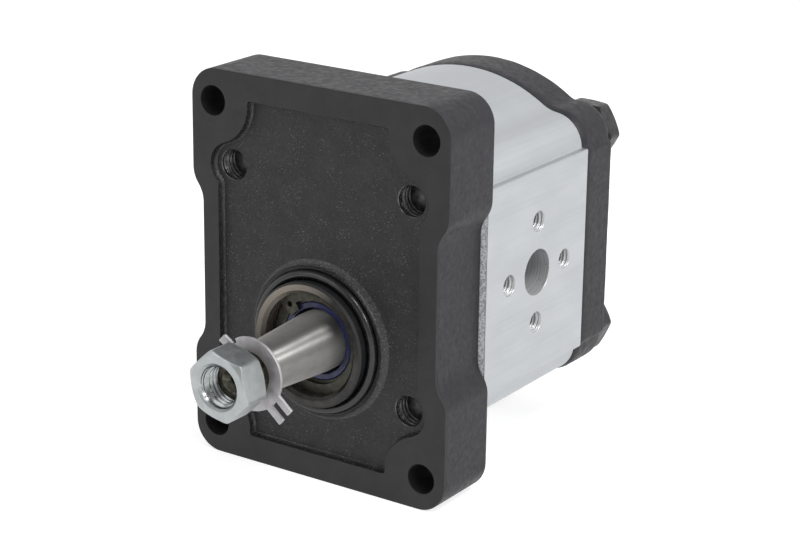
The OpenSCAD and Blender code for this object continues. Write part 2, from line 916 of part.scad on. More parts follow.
function tooth(middle) = concat(
    [polar(root_r, middle - half_tooth(base_r))],
    [for (step = [0 : flank_steps]) flank_point(flank_radius(step), middle, -1)],
    [polar(tip_r, middle)],
    [for (step = [flank_steps : -1 : 0]) flank_point(flank_radius(step), middle, 1)],
    [polar(root_r, middle + half_tooth(base_r))]
);

module gear_outline(first) {
    polygon([for (k = [0 : teeth - 1]) each tooth(first + k * pitch_step)]);
}

module taper_and_thread() {
    turned([[0, shaft_end_y], [shaft_thread_r - shaft_end_chamfer, shaft_end_y],
        [shaft_thread_r, shaft_end_y + shaft_end_chamfer], [shaft_thread_r, taper_y0],
        [taper_small_r - shaft_end_edge, taper_y0], [taper_small_r, taper_y0 + shaft_end_edge],
        [taper_r, -taper_start], [taper_r, journal_y0], [journal_r, journal_y0],
        [journal_r, journal_y1 - shaft_end_edge], [journal_edge_r, journal_y1], [0, journal_y1]]);
}

// Places its children on the side of the shaft where the key lies
module at_key() {
    rotate([0, -key_angle, 0])
        translate([key_disc_x, -key_place, 0])
            children();
}

module drive_gear_shaft() {
    color(steel)
    difference() {
        union() {
            taper_and_thread();
            slab(gear_y0, gear_y1)
                gear_outline(90);
        }
        at_key()
            cylinder(d = key_d + 2 * key_clearance, h = key_w + 2 * key_clearance, center = true);
        bar_y(0, 0, centre_hole_d / 2, shaft_end_y - over, shaft_end_y + centre_hole_depth);
        cone_y(0, 0, centre_hole_d, centre_hole_d / 2, shaft_end_y, shaft_end_y + centre_hole_d / 2);
    }
}

module driven_gear_shaft() {
    color(steel)
    translate([0, 0, centre_distance]) {
        turned([[0, journal_y0], [journal_edge_r, journal_y0],
            [journal_r, journal_y0 + shaft_end_edge], [journal_r, journal_y1 - shaft_end_edge],
            [journal_edge_r, journal_y1], [0, journal_y1]]);
        slab(gear_y0, gear_y1)
            gear_outline(270 + pitch_step / 2);
    }
}

module shaft_key() {
    color(steel)
    intersection() {
        at_key()
            cylinder(d = key_d, h = key_w, center = true);
        rotate([0, -key_angle, 0])
            translate([0, -key_place - key_d, -key_w])
                cube([key_taper_r + key_proud, 2 * key_d, 2 * key_w]);
    }
}

// A flat prong that starts inside the disc and points outwards along X
module prong(side) {
    translate([washer_in_r + 1, side * (prong_gap + prong_w) / 2 - prong_w / 2])
        square([prong_reach - washer_in_r - 1, prong_w]);
}

// The washer is loose on the thread and lies off centre, towards its prongs
module tab_washer() {
    color(zinc)
    translate([washer_offset[0], 0, washer_offset[1]])
        difference() {
            union() {
                slab(washer_y0, washer_y1) {
                    circle(d = washer_d);
                    rotate(prong_angle)
                        for (side = [-1, 1])
                            prong(side);
                }
                translate([0, washer_y1, 0])
                    rotate([90, 0, 0])
                        rotate([0, 0, tab_angle])
                            translate([tab_root_r, 0, 0])
                                rotate([0, -tab_bend, 0])
                                    translate([0, -tab_w / 2, 0])
                                        cube([tab_reach - tab_root_r, tab_w, washer_t]);
            }
            bar_y(0, 0, washer_in_r, washer_y0 - over, washer_y1 + over);
        }
}

module shaft_nut() {
    bore_r = (shaft_thread + thread_clearance) / 2;
    color(zinc)
    difference() {
        chamfered_hexagon(nut_af, nut_y0, nut_y1, nut_angle, nut_chamfer_d / 2);
        bar_y(0, 0, bore_r, nut_y0 - over, nut_y1 + over);
        cone_y(0, 0, bore_r + nut_countersink, bore_r, nut_y0, nut_y0 + nut_countersink);
        cone_y(0, 0, bore_r, bore_r + nut_countersink, nut_y1 - nut_countersink, nut_y1);
    }
}

front_flange();
pump_body();
rear_cover();
through_bolts();
spring_washers();
front_dowels();
rear_dowels();
pilot_oring();
shaft_seal_case();
shaft_seal_lip();
seal_garter_spring();
seal_retaining_ring();
front_body_seal();
rear_body_seal();
front_bearing_block();
rear_bearing_block();
front_drive_bush();
front_driven_bush();
rear_drive_bush();
rear_driven_bush();
front_balance_seal();
rear_balance_seal();
front_backup_ring();
rear_backup_ring();
drive_gear_shaft();
driven_gear_shaft();
shaft_key();
tab_washer();
shaft_nut();
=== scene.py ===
"""Looks for an external gear pump: an iron flange and cover round an extruded aluminium body,
with a tapered drive shaft that carries a nut and a tab washer."""

from types import SimpleNamespace

import bmesh
import bpy
import numpy as np
from mathutils import Matrix, Vector
from mathutils.geometry import delaunay_2d_cdt


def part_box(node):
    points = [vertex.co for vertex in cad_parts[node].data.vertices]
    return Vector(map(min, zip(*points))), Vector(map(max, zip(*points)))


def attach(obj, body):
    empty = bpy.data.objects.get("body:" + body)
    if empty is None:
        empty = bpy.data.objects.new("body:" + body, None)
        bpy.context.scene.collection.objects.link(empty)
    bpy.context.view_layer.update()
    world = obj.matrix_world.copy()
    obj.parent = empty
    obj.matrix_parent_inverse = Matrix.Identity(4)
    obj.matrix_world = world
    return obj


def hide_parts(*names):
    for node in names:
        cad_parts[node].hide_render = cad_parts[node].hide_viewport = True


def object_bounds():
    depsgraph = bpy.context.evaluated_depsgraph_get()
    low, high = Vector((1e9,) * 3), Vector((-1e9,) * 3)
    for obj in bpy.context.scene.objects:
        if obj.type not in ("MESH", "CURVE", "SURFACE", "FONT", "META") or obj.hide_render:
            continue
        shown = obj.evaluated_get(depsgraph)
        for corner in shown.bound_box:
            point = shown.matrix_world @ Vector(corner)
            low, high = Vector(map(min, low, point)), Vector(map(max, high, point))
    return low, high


bl_info = {
    "name": "Gear pump looks",
    "version": (1, 0, 0),
    "blender": (4, 5, 0),
    "location": "3D View > Sidebar > Gear pump",
    "description": "Builds the visible pieces of a hydraulic gear pump around its packed frame",
    "category": "Object",
}

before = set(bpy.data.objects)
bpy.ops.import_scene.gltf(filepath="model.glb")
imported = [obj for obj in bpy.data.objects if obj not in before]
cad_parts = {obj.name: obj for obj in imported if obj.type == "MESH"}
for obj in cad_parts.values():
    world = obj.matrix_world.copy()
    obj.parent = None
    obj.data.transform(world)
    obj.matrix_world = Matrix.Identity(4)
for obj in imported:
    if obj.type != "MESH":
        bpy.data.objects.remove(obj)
frame_low, frame_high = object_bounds()

MM = 0.001
TAU = 2 * np.pi
PREFIX = "pump_"

# Points nearer than SEAM become one, faces thinner than SLIVER go, and an edge sharper than CREASE
# stays sharp.
SEAM = 0.003 * MM
SLIVER = 0.0005 * MM
CREASE = np.radians(33.0)

# Height of the waves in cast skin and width of the break on a port's edge, both in millimetres.
CAST_HEIGHT = 0.05
PORT_LIP = 0.1


def length(name, description, millimetres):
    """A size property in metres, with its default given in millimetres."""
    return bpy.props.FloatProperty(
        name=name, description=description, default=millimetres * MM, unit="LENGTH", precision=5)


def angle(name, description, degrees):
    """An angle property, with its default given in degrees."""
    return bpy.props.FloatProperty(
        name=name, description=description, default=np.radians(degrees), subtype="ANGLE")


def colour(name, description, red, green, blue):
    """A colour property in linear light."""
    return bpy.props.FloatVectorProperty(
        name=name, description=description, default=(red, green, blue), subtype="COLOR", size=3,
        min=0.0, max=1.0)


def factor(name, description, value):
    """A plain number."""
    return bpy.props.FloatProperty(name=name, description=description, default=value)


class PumpFlangeSizes(bpy.types.PropertyGroup):
    """Sizes of the iron flange."""

    corner_r: length("Corner", "Radius of the four corners", 8.5)
    waist_inset: length("Waist inset", "How far each long side steps in", 3.5)
    waist_half: length("Waist height", "Half of the height of the straight waist", 18)
    waist_r: length("Waist arcs", "Radius of the arcs that blend the waist", 8)
    pitch_x: length("Hole pitch X", "Sideways pitch of the mounting holes", 71.5)
    pitch_z: length("Hole pitch Z", "Upright pitch of the mounting holes", 96)
    hole_r: length("Holes", "Radius of the mounting holes", 4.25)
    pocket_depth: length("Pocket depth", "Depth of the cast pocket", 2)
    end_band: length("End band", "Width of the machined band at top and bottom", 7.7)
    side_band: length("Side band", "Width of the machined band at the sides", 9.1)
    land_r: length("Lands", "Radius of the machined lands round the mounting holes", 12.1)
    collar_r: length("Collar", "Radius of the collar round the pilot", 21.5)
    collar_flare: length("Collar flare", "How far the collar widens down to the pocket", 1.8)
    pilot_r: length("Pilot", "Radius of the pilot", 18.25)
    pilot_relief: length("Relief", "Depth of the relief under the ring seal", 0.25)
    pilot_chamfer: length("Pilot chamfer", "Chamfer on the pilot's edge", 0.65)
    groove_r: length("Ring groove", "Outer radius of the groove for the ring seal", 21.02)
    groove_depth: length("Ring groove depth", "Depth of the groove for the ring seal", 0.72)
    seal_bore_r: length("Seal bore", "Radius of the bore for the shaft seal", 15)
    seal_bore_end: length("Seal bore end", "Depth of the seal bore behind the mounting face", 7.6)
    passage_r: length("Shaft passage", "Radius of the opening behind the seal", 12)
    edge: length("Edges", "Rounding of the machined front edge", 0.35)
    rear_edge: length("Rear edge", "Rounding of the cast rear edge", 0.9)


class PumpBodySizes(bpy.types.PropertyGroup):
    """Sizes of the extruded body, the cover and the ports."""

    ear_r: length("Body ears", "Radius of the body's ear round each bolt", 9.6)
    cover_ear_r: length("Cover ears", "Radius of the cover's ear round each bolt", 10.3)
    hollow_r: length("Hollows", "Radius of the hollows between the body's arcs and ears", 11)
    cover_hollow_r: length("Cover hollows", "Radius of the hollows in the cover's edge", 3)
    pad_half: length("Port pads", "Half of the height of the port pads", 30.3)
    notch: length("Notches", "Rounding of the body's corners and notches", 0.35)
    cover_notch: length("Cover notches", "Rounding of the cast cover's notches", 0.8)
    edge: length("Body edges", "Break on the body's cut edges", 0.3)
    cover_edge: length("Cover edge", "Rounding of the cover's rear edge", 1.3)
    bolt_half: length("Bolt pitch", "Half of the pitch of the through bolts", 30)
    bolt_hole_r: length("Bolt holes", "Radius of the plain bolt holes", 5.3)
    centres: length("Gear centres", "Distance between the two shafts", 31.2)
    chamber_r: length("Gear chamber", "Radius of the chamber round each gear", 18.2)
    pressure_r: length("Pressure port", "Radius of the pressure port", 6.75)
    pressure_circle: length("Pressure circle", "Radius of the pressure port's bolt circle", 15)
    pressure_thread_r: length("Pressure thread", "Radius of the pressure port's threads", 3)
    suction_r: length("Suction port", "Radius of the suction port", 10)
    suction_inner_r: length("Suction passage", "Radius of the narrow part of the suction port", 8)
    suction_step: length("Suction step", "Depth of the wide part of the suction port", 14)
    suction_circle: length("Suction circle", "Radius of the suction port's bolt circle", 20)
    suction_thread_r: length("Suction thread", "Radius of the suction port's threads", 4)
    thread_depth: length("Thread depth", "Depth of the ports' threaded holes", 13)
    mouth: length("Mouths", "Countersink at the mouth of a hole", 0.15)


class PumpFastenerSizes(bpy.types.PropertyGroup):
    """Sizes of the bolts, the nut and the washers."""

    bolt_r: length("Bolt", "Radius of the through bolts", 4.95)
    tip_lead: length("Tip lead", "How far the domed tips stand ahead of the plain ones", 2.0)
    head_flats: length("Bolt head", "Width across flats of the bolt heads", 17)
    head_corner: angle("Bolt head turn", "Direction of one corner of the bolt heads", -3)
    spring_r: length("Spring washer", "Outer radius of the spring washers", 9.05)
    spring_hole_r: length("Spring washer hole", "Inner radius of the spring washers", 5.1)
    spring_slit: length("Spring washer slit", "Width of the slit", 1.4)
    nut_flats: length("Nut", "Width across flats of the nut", 18)
    nut_corner: angle("Nut turn", "Direction of one corner of the nut", 44.4)
    nut_face_r: length("Nut face", "Radius where the nut's chamfer starts", 8.6)
    nut_bore_r: length("Nut bore", "Radius of the nut's thread at its root", 6.05)
    nut_mouth: length("Nut mouth", "Countersink at both ends of the nut's thread", 0.7)
    washer_r: length("Tab washer", "Radius of the tab washer", 10.4)
    washer_hole_r: length("Tab washer hole", "Radius of the tab washer's hole", 6.5)
    prong_turn: angle("Prongs", "Direction of the two prongs", -40)
    prong_gap: length("Prong gap", "Space between the prongs", 2.2)
    prong_w: length("Prong width", "Width of each prong", 2.0)
    prong_reach: length("Prong reach", "Distance of the prongs' tips from the centre", 15.4)
    tab_turn: angle("Tab", "Direction of the single tab", 136)
    tab_w: length("Tab width", "Width of the single tab", 2.8)
    tab_reach: length("Tab reach", "Distance of the tab's tip from the centre", 12.6)
    tab_bend: angle("Tab bend", "Forward bend of the tab", 12)
    notch_r: length("Notch", "Distance of the notch's floor from the centre", 8.9)
    notch_w: length("Notch width", "Width of the notch beside the tab", 1.6)


class PumpShaftSizes(bpy.types.PropertyGroup):
    """Sizes of the two gear shafts and the shaft seal."""

    end_y: length("Shaft end", "Place of the shaft's end", -37.6)
    taper_y: length("Taper", "Place of the taper's small end", -29.3)
    taper_small_r: length("Taper small end", "Radius of the taper's small end", 6.98)
    taper_r: length("Taper large end", "Radius of the taper's large end", 8.75)
    taper_end: length("Taper end", "Place of the taper's large end", -1)
    thread_r: length("Thread", "Outer radius of the shaft's thread", 5.95)
    thread_root_r: length("Thread root", "Radius at the foot of the shaft's thread", 5.15)
    pitch: length("Pitch", "Pitch of the shaft's thread", 1.5)
    centre_r: length("Centre hole", "Radius of the centre hole", 1.6)
    centre_depth: length("Centre hole depth", "Depth of the centre hole", 4)
    journal_r: length("Journals", "Radius of the journals", 9)
    front_y: length("Journal start", "Place where the journals start", 22.9)
    rear_y: length("Journal end", "Place where the journals end", 74.7)
    gear_front_y: length("Gear front", "Place of the gears' front faces", 39.8)
    gear_rear_y: length("Gear rear", "Place of the gears' rear faces", 57.8)
    gear_pitch_r: length("Pitch circle", "Radius of the gears' pitch circle", 15.6)
    gear_tip_r: length("Tips", "Radius of the teeth's tips", 18)
    gear_root_r: length("Roots", "Radius of the teeth's roots", 12.9)
    gear_backlash: length("Backlash", "Play between two teeth in mesh", 0.24)
    ring_seal_r: length("Ring seal", "Radius of the ring seal's centre line", 19.56)
    ring_seal_y: length("Ring seal place", "Place of the ring seal's centre line", -0.59)
    ring_seal_t: length("Ring seal section", "Thickness of the ring seal", 2.62)
    seal_y: length("Shaft seal", "Place of the shaft seal's front face", 0.6)
    seal_case_t: length("Seal case", "Thickness of the seal's case", 0.8)
    sleeve_r: length("Seal sleeve", "Radius of the seal's rubber sleeve", 11.4)


class PumpStageSettings(bpy.types.PropertyGroup):
    """Place of the camera and strength of the light."""

    azimuth: angle("Azimuth", "Direction of the camera to the right of the shaft", 34.176)
    elevation: angle("Elevation", "Height of the camera above the horizon", 18.314)
    roll: angle("Roll", "Turn of the camera about its own line of sight", 0.763)
    aim_right: length("Aim right", "Distance of the line of sight right of the origin", 23.351)
    aim_up: length("Aim up", "Distance of the line of sight above the origin", 20.915)
    distance: length("Distance", "Distance of the camera", 629.39)
    focal: factor("Focal length", "Focal length in millimetres", 101.76)
    ambient: factor("Ambient", "Strength of the even light from all sides", 0.62)
    backdrop: factor("Backdrop", "Brightness of the studio's walls in reflections", 1.14)
    ceiling: factor("Ceiling", "Brightness of the studio's ceiling in reflections", 0.42)
    floor_glow: factor("Floor", "Brightness that the floor shows the camera of its own", 0.66)
    key: factor("Key light", "Brightness of the two strip lights on the right", 14.0)
    fill: factor("Fill light", "Brightness of the soft light at the front", 1.4)


class PumpColours(bpy.types.PropertyGroup):
    """Main colours of the finishes."""

    iron: colour("Iron", "Blackened cast iron", 0.0145, 0.0144, 0.0156)
    # Painted shade: the skin is darker than the iron, so the lamp-lit outer sides and the cover
    # come out darker.
    skin: colour("Iron skin", "Blackened outer sides", 0.0118, 0.0112, 0.0140)
    aluminium: colour("Aluminium", "Extruded aluminium", 0.45, 0.464, 0.477)
    zinc: colour("Zinc", "Bright zinc plating", 0.38, 0.40, 0.405)
    dull_zinc: colour("Dull zinc", "Dull zinc plating", 0.43, 0.417, 0.43)
    steel: colour("Steel", "Ground shaft steel", 0.34, 0.333, 0.322)
    blue_rubber: colour("Seal rubber", "Blue rubber of the shaft seal", 0.012, 0.017, 0.070)


GROUPS = {
    "pump_flange": PumpFlangeSizes,
    "pump_body": PumpBodySizes,
    "pump_fasteners": PumpFastenerSizes,
    "pump_shaft": PumpShaftSizes,
    "pump_stage": PumpStageSettings,
    "pump_colours": PumpColours,
}


def read(context, name):
    """The values of a property group, with lengths in millimetres and angles in radians."""
    group = getattr(context.scene, name)
    values = {}
    for key in type(group).__annotations__:
        value = getattr(group, key)
        is_length = group.bl_rna.properties[key].unit == "LENGTH"
        values[key] = value / MM if is_length else value
    return SimpleNamespace(**values)


def box(node):
    """Lowest and highest corner of a frame node, in millimetres."""
    low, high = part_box(node)
    return np.array(low) / MM, np.array(high) / MM


class Shell:
    """Gathers points and faces in millimetres until they become one mesh. Each face has the finish
    of one of the shell's makers, or of the first if none is named."""

    def __init__(self, *makers):
        self.makers = makers
        self.points = []
        self.faces = []
        self.finishes = []
        self.count = 0

    def add(self, points, faces, maker=None):
        """Adds points of shape (n, 3) and faces that count from the first of them."""
        self.points.append(points)
        self.faces.extend((faces + self.count).tolist())
        self.finishes.extend([self.makers.index(maker or self.makers[0])] * len(faces))
        self.count += len(points)

    def grid(self, points, maker=None, wrap=False):
        """Joins rows of points with four-sided faces. With wrap, each row closes on itself."""
        rows, columns = points.shape[:2]
        row = np.arange(rows - 1)[:, None] * columns
        column = np.arange(columns if wrap else columns - 1)[None, :]
        beside = (column + 1) % columns
        corners = [row + column, row + beside, row + beside + columns, row + column + columns]
        faces = np.stack(np.broadcast_arrays(*corners), -1).reshape(-1, 4)
        self.add(points.reshape(-1, 3), faces, maker)


def circle(steps, first=0.0):
    """Directions at equal steps round a circle."""
    return first + np.linspace(0, TAU, steps, endpoint=False)


def arc(centre, radius, start, end, steps=32):
    """Points (x, z) on a circle between two directions in radians."""
    turn = np.linspace(start, end, steps)
    return np.stack([centre[0] + radius * np.cos(turn), centre[1] + radius * np.sin(turn)], -1)


def ring(centre, radius, steps=64):
    """A round closed outline."""
    return arc(centre, radius, 0.0, TAU, steps + 1)[:-1]


def quarters(quarter):
    """A closed outline from its first quarter, which runs from the X axis round to the Z axis."""
    half = np.concatenate([quarter, quarter[::-1] * [-1, 1]])
    return np.concatenate([half, half[::-1] * [1, -1]])


def evenly(outline, step):
    """A closed outline with its points set again at equal steps along its length."""
    closed = np.concatenate([outline, outline[:1]])
    run = np.concatenate([[0], np.cumsum(np.linalg.norm(np.diff(closed, axis=0), axis=1))])
    at = np.linspace(0, run[-1], int(run[-1] / step), endpoint=False)
    return np.stack([np.interp(at, run, closed[:, k]) for k in (0, 1)], -1)


def softened(outline, width, step):
    """Rounds the corners of a closed outline: its waves are weighted by a bell curve."""
    even = evenly(outline, step)
    waves = np.fft.fft(even[:, 0] + 1j * even[:, 1])
    run = np.linalg.norm(np.diff(even, axis=0), axis=1).mean()
    pitch = np.fft.fftfreq(len(even), run)
    smooth = np.fft.ifft(waves * np.exp(-2 * (np.pi * pitch * width) ** 2))
    return np.stack([smooth.real, smooth.imag], -1)


def inset(outline, amount):
    """Moves each point of an outline inwards, square to the line between its neighbours."""
    along = np.roll(outline, -1, 0) - np.roll(outline, 1, 0)
    along /= np.linalg.norm(along, axis=1, keepdims=True)
    return outline + amount * np.stack([-along[:, 1], along[:, 0]], -1)


def stood(flat, depth, axis="y"):
    """Places flat points at a depth along Y, as (x, z), or along X, as (y, z)."""
    depths = np.full(len(flat), depth) if np.isscalar(depth) else depth
    if axis == "y":
        return np.stack([flat[:, 0], depths, flat[:, 1]], -1)
    return np.stack([depths, flat[:, 0], flat[:, 1]], -1)


def within(points, loops, margin=0.0):
    """Tells which points lie inside the first loop and outside the others, with a margin from
    each. A point is inside a loop if a line from it towards +X crosses the loop an odd number of
    times."""
    keep = np.ones(len(points), bool)
    x, z = points[:, :1], points[:, 1:]
    for number, loop in enumerate(loops):
        ahead = np.roll(loop, -1, 0)
        crosses = (loop[:, 1] > z) != (ahead[:, 1] > z)
        rise = np.where(ahead[:, 1] == loop[:, 1], 1.0, ahead[:, 1] - loop[:, 1])
        slope = (ahead[:, 0] - loop[:, 0]) / rise
        inside = (crosses & (x < loop[:, 0] + slope * (z - loop[:, 1]))).sum(1) % 2 == 1
        keep &= inside if number == 0 else ~inside
        if margin:
            keep &= np.hypot(x - loop[:, 0], z - loop[:, 1]).min(1) > margin
    return keep


def spread_points(low, high, step, loops, margin=0.9):
    """Points at even steps over a rectangle, where they lie within the loops. They let a cast face
    rise and fall."""
    across, up = np.arange(low[0], high[0], step), np.arange(low[1], high[1], step)
    points = np.stack(np.meshgrid(across, up), -1).reshape(-1, 2)
    return points[within(points, loops, margin)]


def filled(loops, loose=np.empty((0, 2))):
    """Triangles between an outline and the holes in it, by constrained Delaunay triangulation. A
    triangle stays if its middle lies inside the outline and outside the holes."""
    edges = []
    start = 0
    for loop in loops:
        step = np.arange(len(loop))
        edges += (start + np.stack([step, np.roll(step, -1)], -1)).tolist()
        start += len(loop)
    flat = np.concatenate([*loops, loose])
    nearest = 1e-5
    points, _, faces, *_ = delaunay_2d_cdt(
        [Vector(point) for point in flat.tolist()], edges, [], 0, nearest)
    points, faces = np.array([tuple(point) for point in points]), np.array(faces)
    return points, faces[within(points[faces].mean(1), loops)]


def flat_face(shell, depth, loops, maker=None, axis="y", loose=np.empty((0, 2))):
    """A flat face with holes, square to Y or X."""
    points, faces = filled(loops, loose)
    shell.add(stood(points, depth, axis), faces, maker)


def carried(outline, profile):
    """Rows of points: an outline once for each (inset, y) of a profile."""
    return np.stack([stood(inset(outline, amount), y) for amount, y in profile])


def edge_wall(shell, outline, profile, maker=None):
    """Carries a profile of (inset, y) round a closed outline."""
    shell.grid(carried(outline, profile), maker, wrap=True)


def rings(radius, depth, turn, axis="y", centre=(0.0, 0.0)):
    """Points at a radius, a depth along the axis and a turn about it, for arrays of each."""
    radius, depth, turn = np.broadcast_arrays(radius, depth, turn)
    across = centre[0] + radius * np.cos(turn)
    up = centre[1] + radius * np.sin(turn)
    order = [across, depth, up] if axis == "y" else [depth, across, up]
    return np.stack(order, -1)


def broken(edge, face_y, way):
    """Profile of a broken edge, from a face at face_y onto the wall that runs along Y that way."""
    return [(edge, face_y), (edge * 0.3, face_y + way * edge * 0.3), (0.0, face_y + way * edge)]


def rounded(radius, face_y, steps):
    """Profile of a quarter round, from the wall onto a face at face_y behind it."""
    bend = np.linspace(0, np.pi / 2, steps)
    return list(zip(radius * (1 - np.cos(bend)), face_y - radius * (1 - np.sin(bend))))


def turned(shell, profile, maker=None, axis="y", centre=(0.0, 0.0), steps=64, first=0.0):
    """A surface of revolution: each (radius, depth) of the profile is a ring."""
    line = np.array(profile, float)
    points = rings(line[:, :1], line[:, 1:], circle(steps, first)[None, :], axis, centre)
    shell.grid(points, maker, wrap=True)


def thread(shell, wall_r, crest_r, start, end, pitch, maker=None, axis="y", centre=(0.0, 0.0),
           steps=64, first=0.0):
    """A helical ridge on a round wall. Row i lies at depth pitch * (i / n - 1 + turn), held between
    the two ends, so rows follow the helix. The ridge is a triangle wave of the row, widened by its
    steepness and cut off at its root and its crest, and it fades out over one pitch at each end."""
    per_turn, steepness = 8, 1.4
    span = abs(end - start)
    row = np.arange(int(np.ceil(span / pitch * per_turn)) + per_turn + 1)[:, None]
    turn = np.linspace(0, 1, steps + 1)[None, :]
    along = np.clip((row / per_turn - 1 + turn) * pitch, 0, span)
    phase = (row / per_turn) % 1.0
    wave = 1 - np.abs(2 * phase - 1)
    ridge = np.clip(0.5 + steepness * (wave - 0.5), 0, 1)
    fade = np.clip(along / pitch, 0, 1) * np.clip((span - along) / pitch, 0, 1)
    radius = wall_r + (crest_r - wall_r) * ridge * fade
    depth = start + np.sign(end - start) * along
    shell.grid(rings(radius, depth, first + turn * TAU, axis, centre), maker)


def hexagon_r(turn, flats, corner):
    """Distance from a hexagon's middle to its side: the half width over the cosine of the turn away
    from the side's middle. A high negative power blends it with the radius of its worn corner."""
    off = (turn - corner) % (np.pi / 3) - np.pi / 6
    side = flats / 2 / np.cos(off)
    worn = 0.985 * flats / np.sqrt(3)
    sharpness = 90
    return (side ** -sharpness + worn ** -sharpness) ** (-1 / sharpness)


def hexagon(shell, flats, corner, y0, y1, face_r, inner_r, steps=96, centre=(0.0, 0.0)):
    """A hexagonal block with both ends chamfered at 30 degrees. From the inner radius the surface
    runs over the flat face, out along a cone to the hexagon's side, back along the side, and over
    the other end in the same way."""
    turn = circle(steps, corner)[None, :]
    side = hexagon_r(turn, flats, corner)
    worn = 0.1
    slope = np.tan(np.radians(30))
    share = np.linspace(0, 1, 5)[:, None]
    cone_r = face_r + (side - worn - face_r) * share
    cone_y = (cone_r - face_r) * slope
    drop = (side - face_r) * slope + worn
    inner = np.full_like(side, inner_r)
    radius = np.concatenate([inner, cone_r, side, side, cone_r[::-1], inner])
    depth = np.concatenate([np.full_like(side, y0), y0 + cone_y, y0 + drop, y1 - drop,
                            y1 - cone_y[::-1], np.full_like(side, y1)])
    shell.grid(rings(radius, depth, turn, "y", centre), wrap=True)


def waviness(points):
    """An uneven height for cast skin, from minus one to one: the mean of three sine waves, each
    bent by a slower one."""
    x, y, z = points.T
    waves = np.sin(x * 0.9 + 1.7 * np.sin(z * 0.31)) + np.sin(z * 1.1 + 1.3 * np.sin(y * 0.47))
    return (waves + np.sin(y * 1.4 + 0.8 * x + 2.1 * np.sin(x * 0.23))) / 3


def gathered(items, key, kind, width=1):
    """One value of each item of a mesh, as an array."""
    values = np.empty(len(items) * width, kind)
    items.foreach_get(key, values)
    return values


def roughen(mesh, height):
    """Moves the points that lie only in faces of the first finish along their normals, in waves."""
    places = gathered(mesh.vertices, "co", np.float32, 3).reshape(-1, 3)
    normals = gathered(mesh.vertices, "normal", np.float32, 3).reshape(-1, 3)
    corners = gathered(mesh.loops, "vertex_index", np.int32)
    totals = gathered(mesh.polygons, "loop_total", np.int32)
    finishes = gathered(mesh.polygons, "material_index", np.int32)
    other = np.bincount(corners, np.repeat(finishes > 0, totals), len(places))
    lift = (other == 0) * waviness(places / MM) * height * MM
    mesh.vertices.foreach_set("co", (places + normals * lift[:, None]).ravel())


def make_piece(shell, context, name, body, replaced, cast_height=0.0):
    """Turns a shell into a piece: merges its seams, turns its faces outwards, marks the creases,
    and lets it ride on its body in place of the nodes that it stands for."""
    mesh = bpy.data.meshes.new(name)
    mesh.from_pydata((np.concatenate(shell.points) * MM).tolist(), [], shell.faces)
    mesh.polygons.foreach_set("material_index", np.array(shell.finishes, np.int32))
    for maker in shell.makers:
        mesh.materials.append(finish_of(maker, context))
    work = bmesh.new()
    work.from_mesh(mesh)
    bmesh.ops.remove_doubles(work, verts=work.verts, dist=SEAM)
    bmesh.ops.dissolve_degenerate(work, edges=work.edges, dist=SLIVER)
    bmesh.ops.recalc_face_normals(work, faces=work.faces)
    work.to_mesh(mesh)
    work.free()
    if cast_height:
        roughen(mesh, cast_height)
    mesh.shade_smooth()
    mesh.set_sharp_from_angle(angle=CREASE)
    piece = bpy.data.objects.new(name, mesh)
    bpy.context.scene.collection.objects.link(piece)
    weighted = piece.modifiers.new("weighted normals", "WEIGHTED_NORMAL")
    weighted.keep_sharp = True
    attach(piece, body)
    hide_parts(*replaced)


class Nodes:
    """Adds shader nodes to a tree and feeds them."""

    def __init__(self, tree):
        self.tree = tree

    def feed(self, node, inputs):
        """Sets each input to a number or a vector, or links it to another node's output."""
        for key, value in inputs.items():
            if isinstance(value, bpy.types.NodeSocket):
                self.tree.links.new(value, node.inputs[key])
            else:
                node.inputs[key].default_value = value

    def node(self, kind, inputs=None, **settings):
        """A new node with its inputs fed."""
        made = self.tree.nodes.new(kind)
        for key, value in settings.items():
            setattr(made, key, value)
        self.feed(made, inputs or {})
        return made

    def levels(self, value, low, high, to_low=0.0, to_high=1.0):
        """Maps a value from one range to another and holds it there."""
        return self.node("ShaderNodeMapRange", {
            "Value": value, "From Min": low, "From Max": high, "To Min": to_low,
            "To Max": to_high}).outputs[0]

    def math(self, operation, first, second):
        """One sum of two values."""
        return self.node("ShaderNodeMath", {0: first, 1: second}, operation=operation).outputs[0]

    def along(self, place, direction):
        """How far a place lies along a direction."""
        return self.node("ShaderNodeVectorMath", {0: place, 1: direction},
                         operation="DOT_PRODUCT").outputs["Value"]


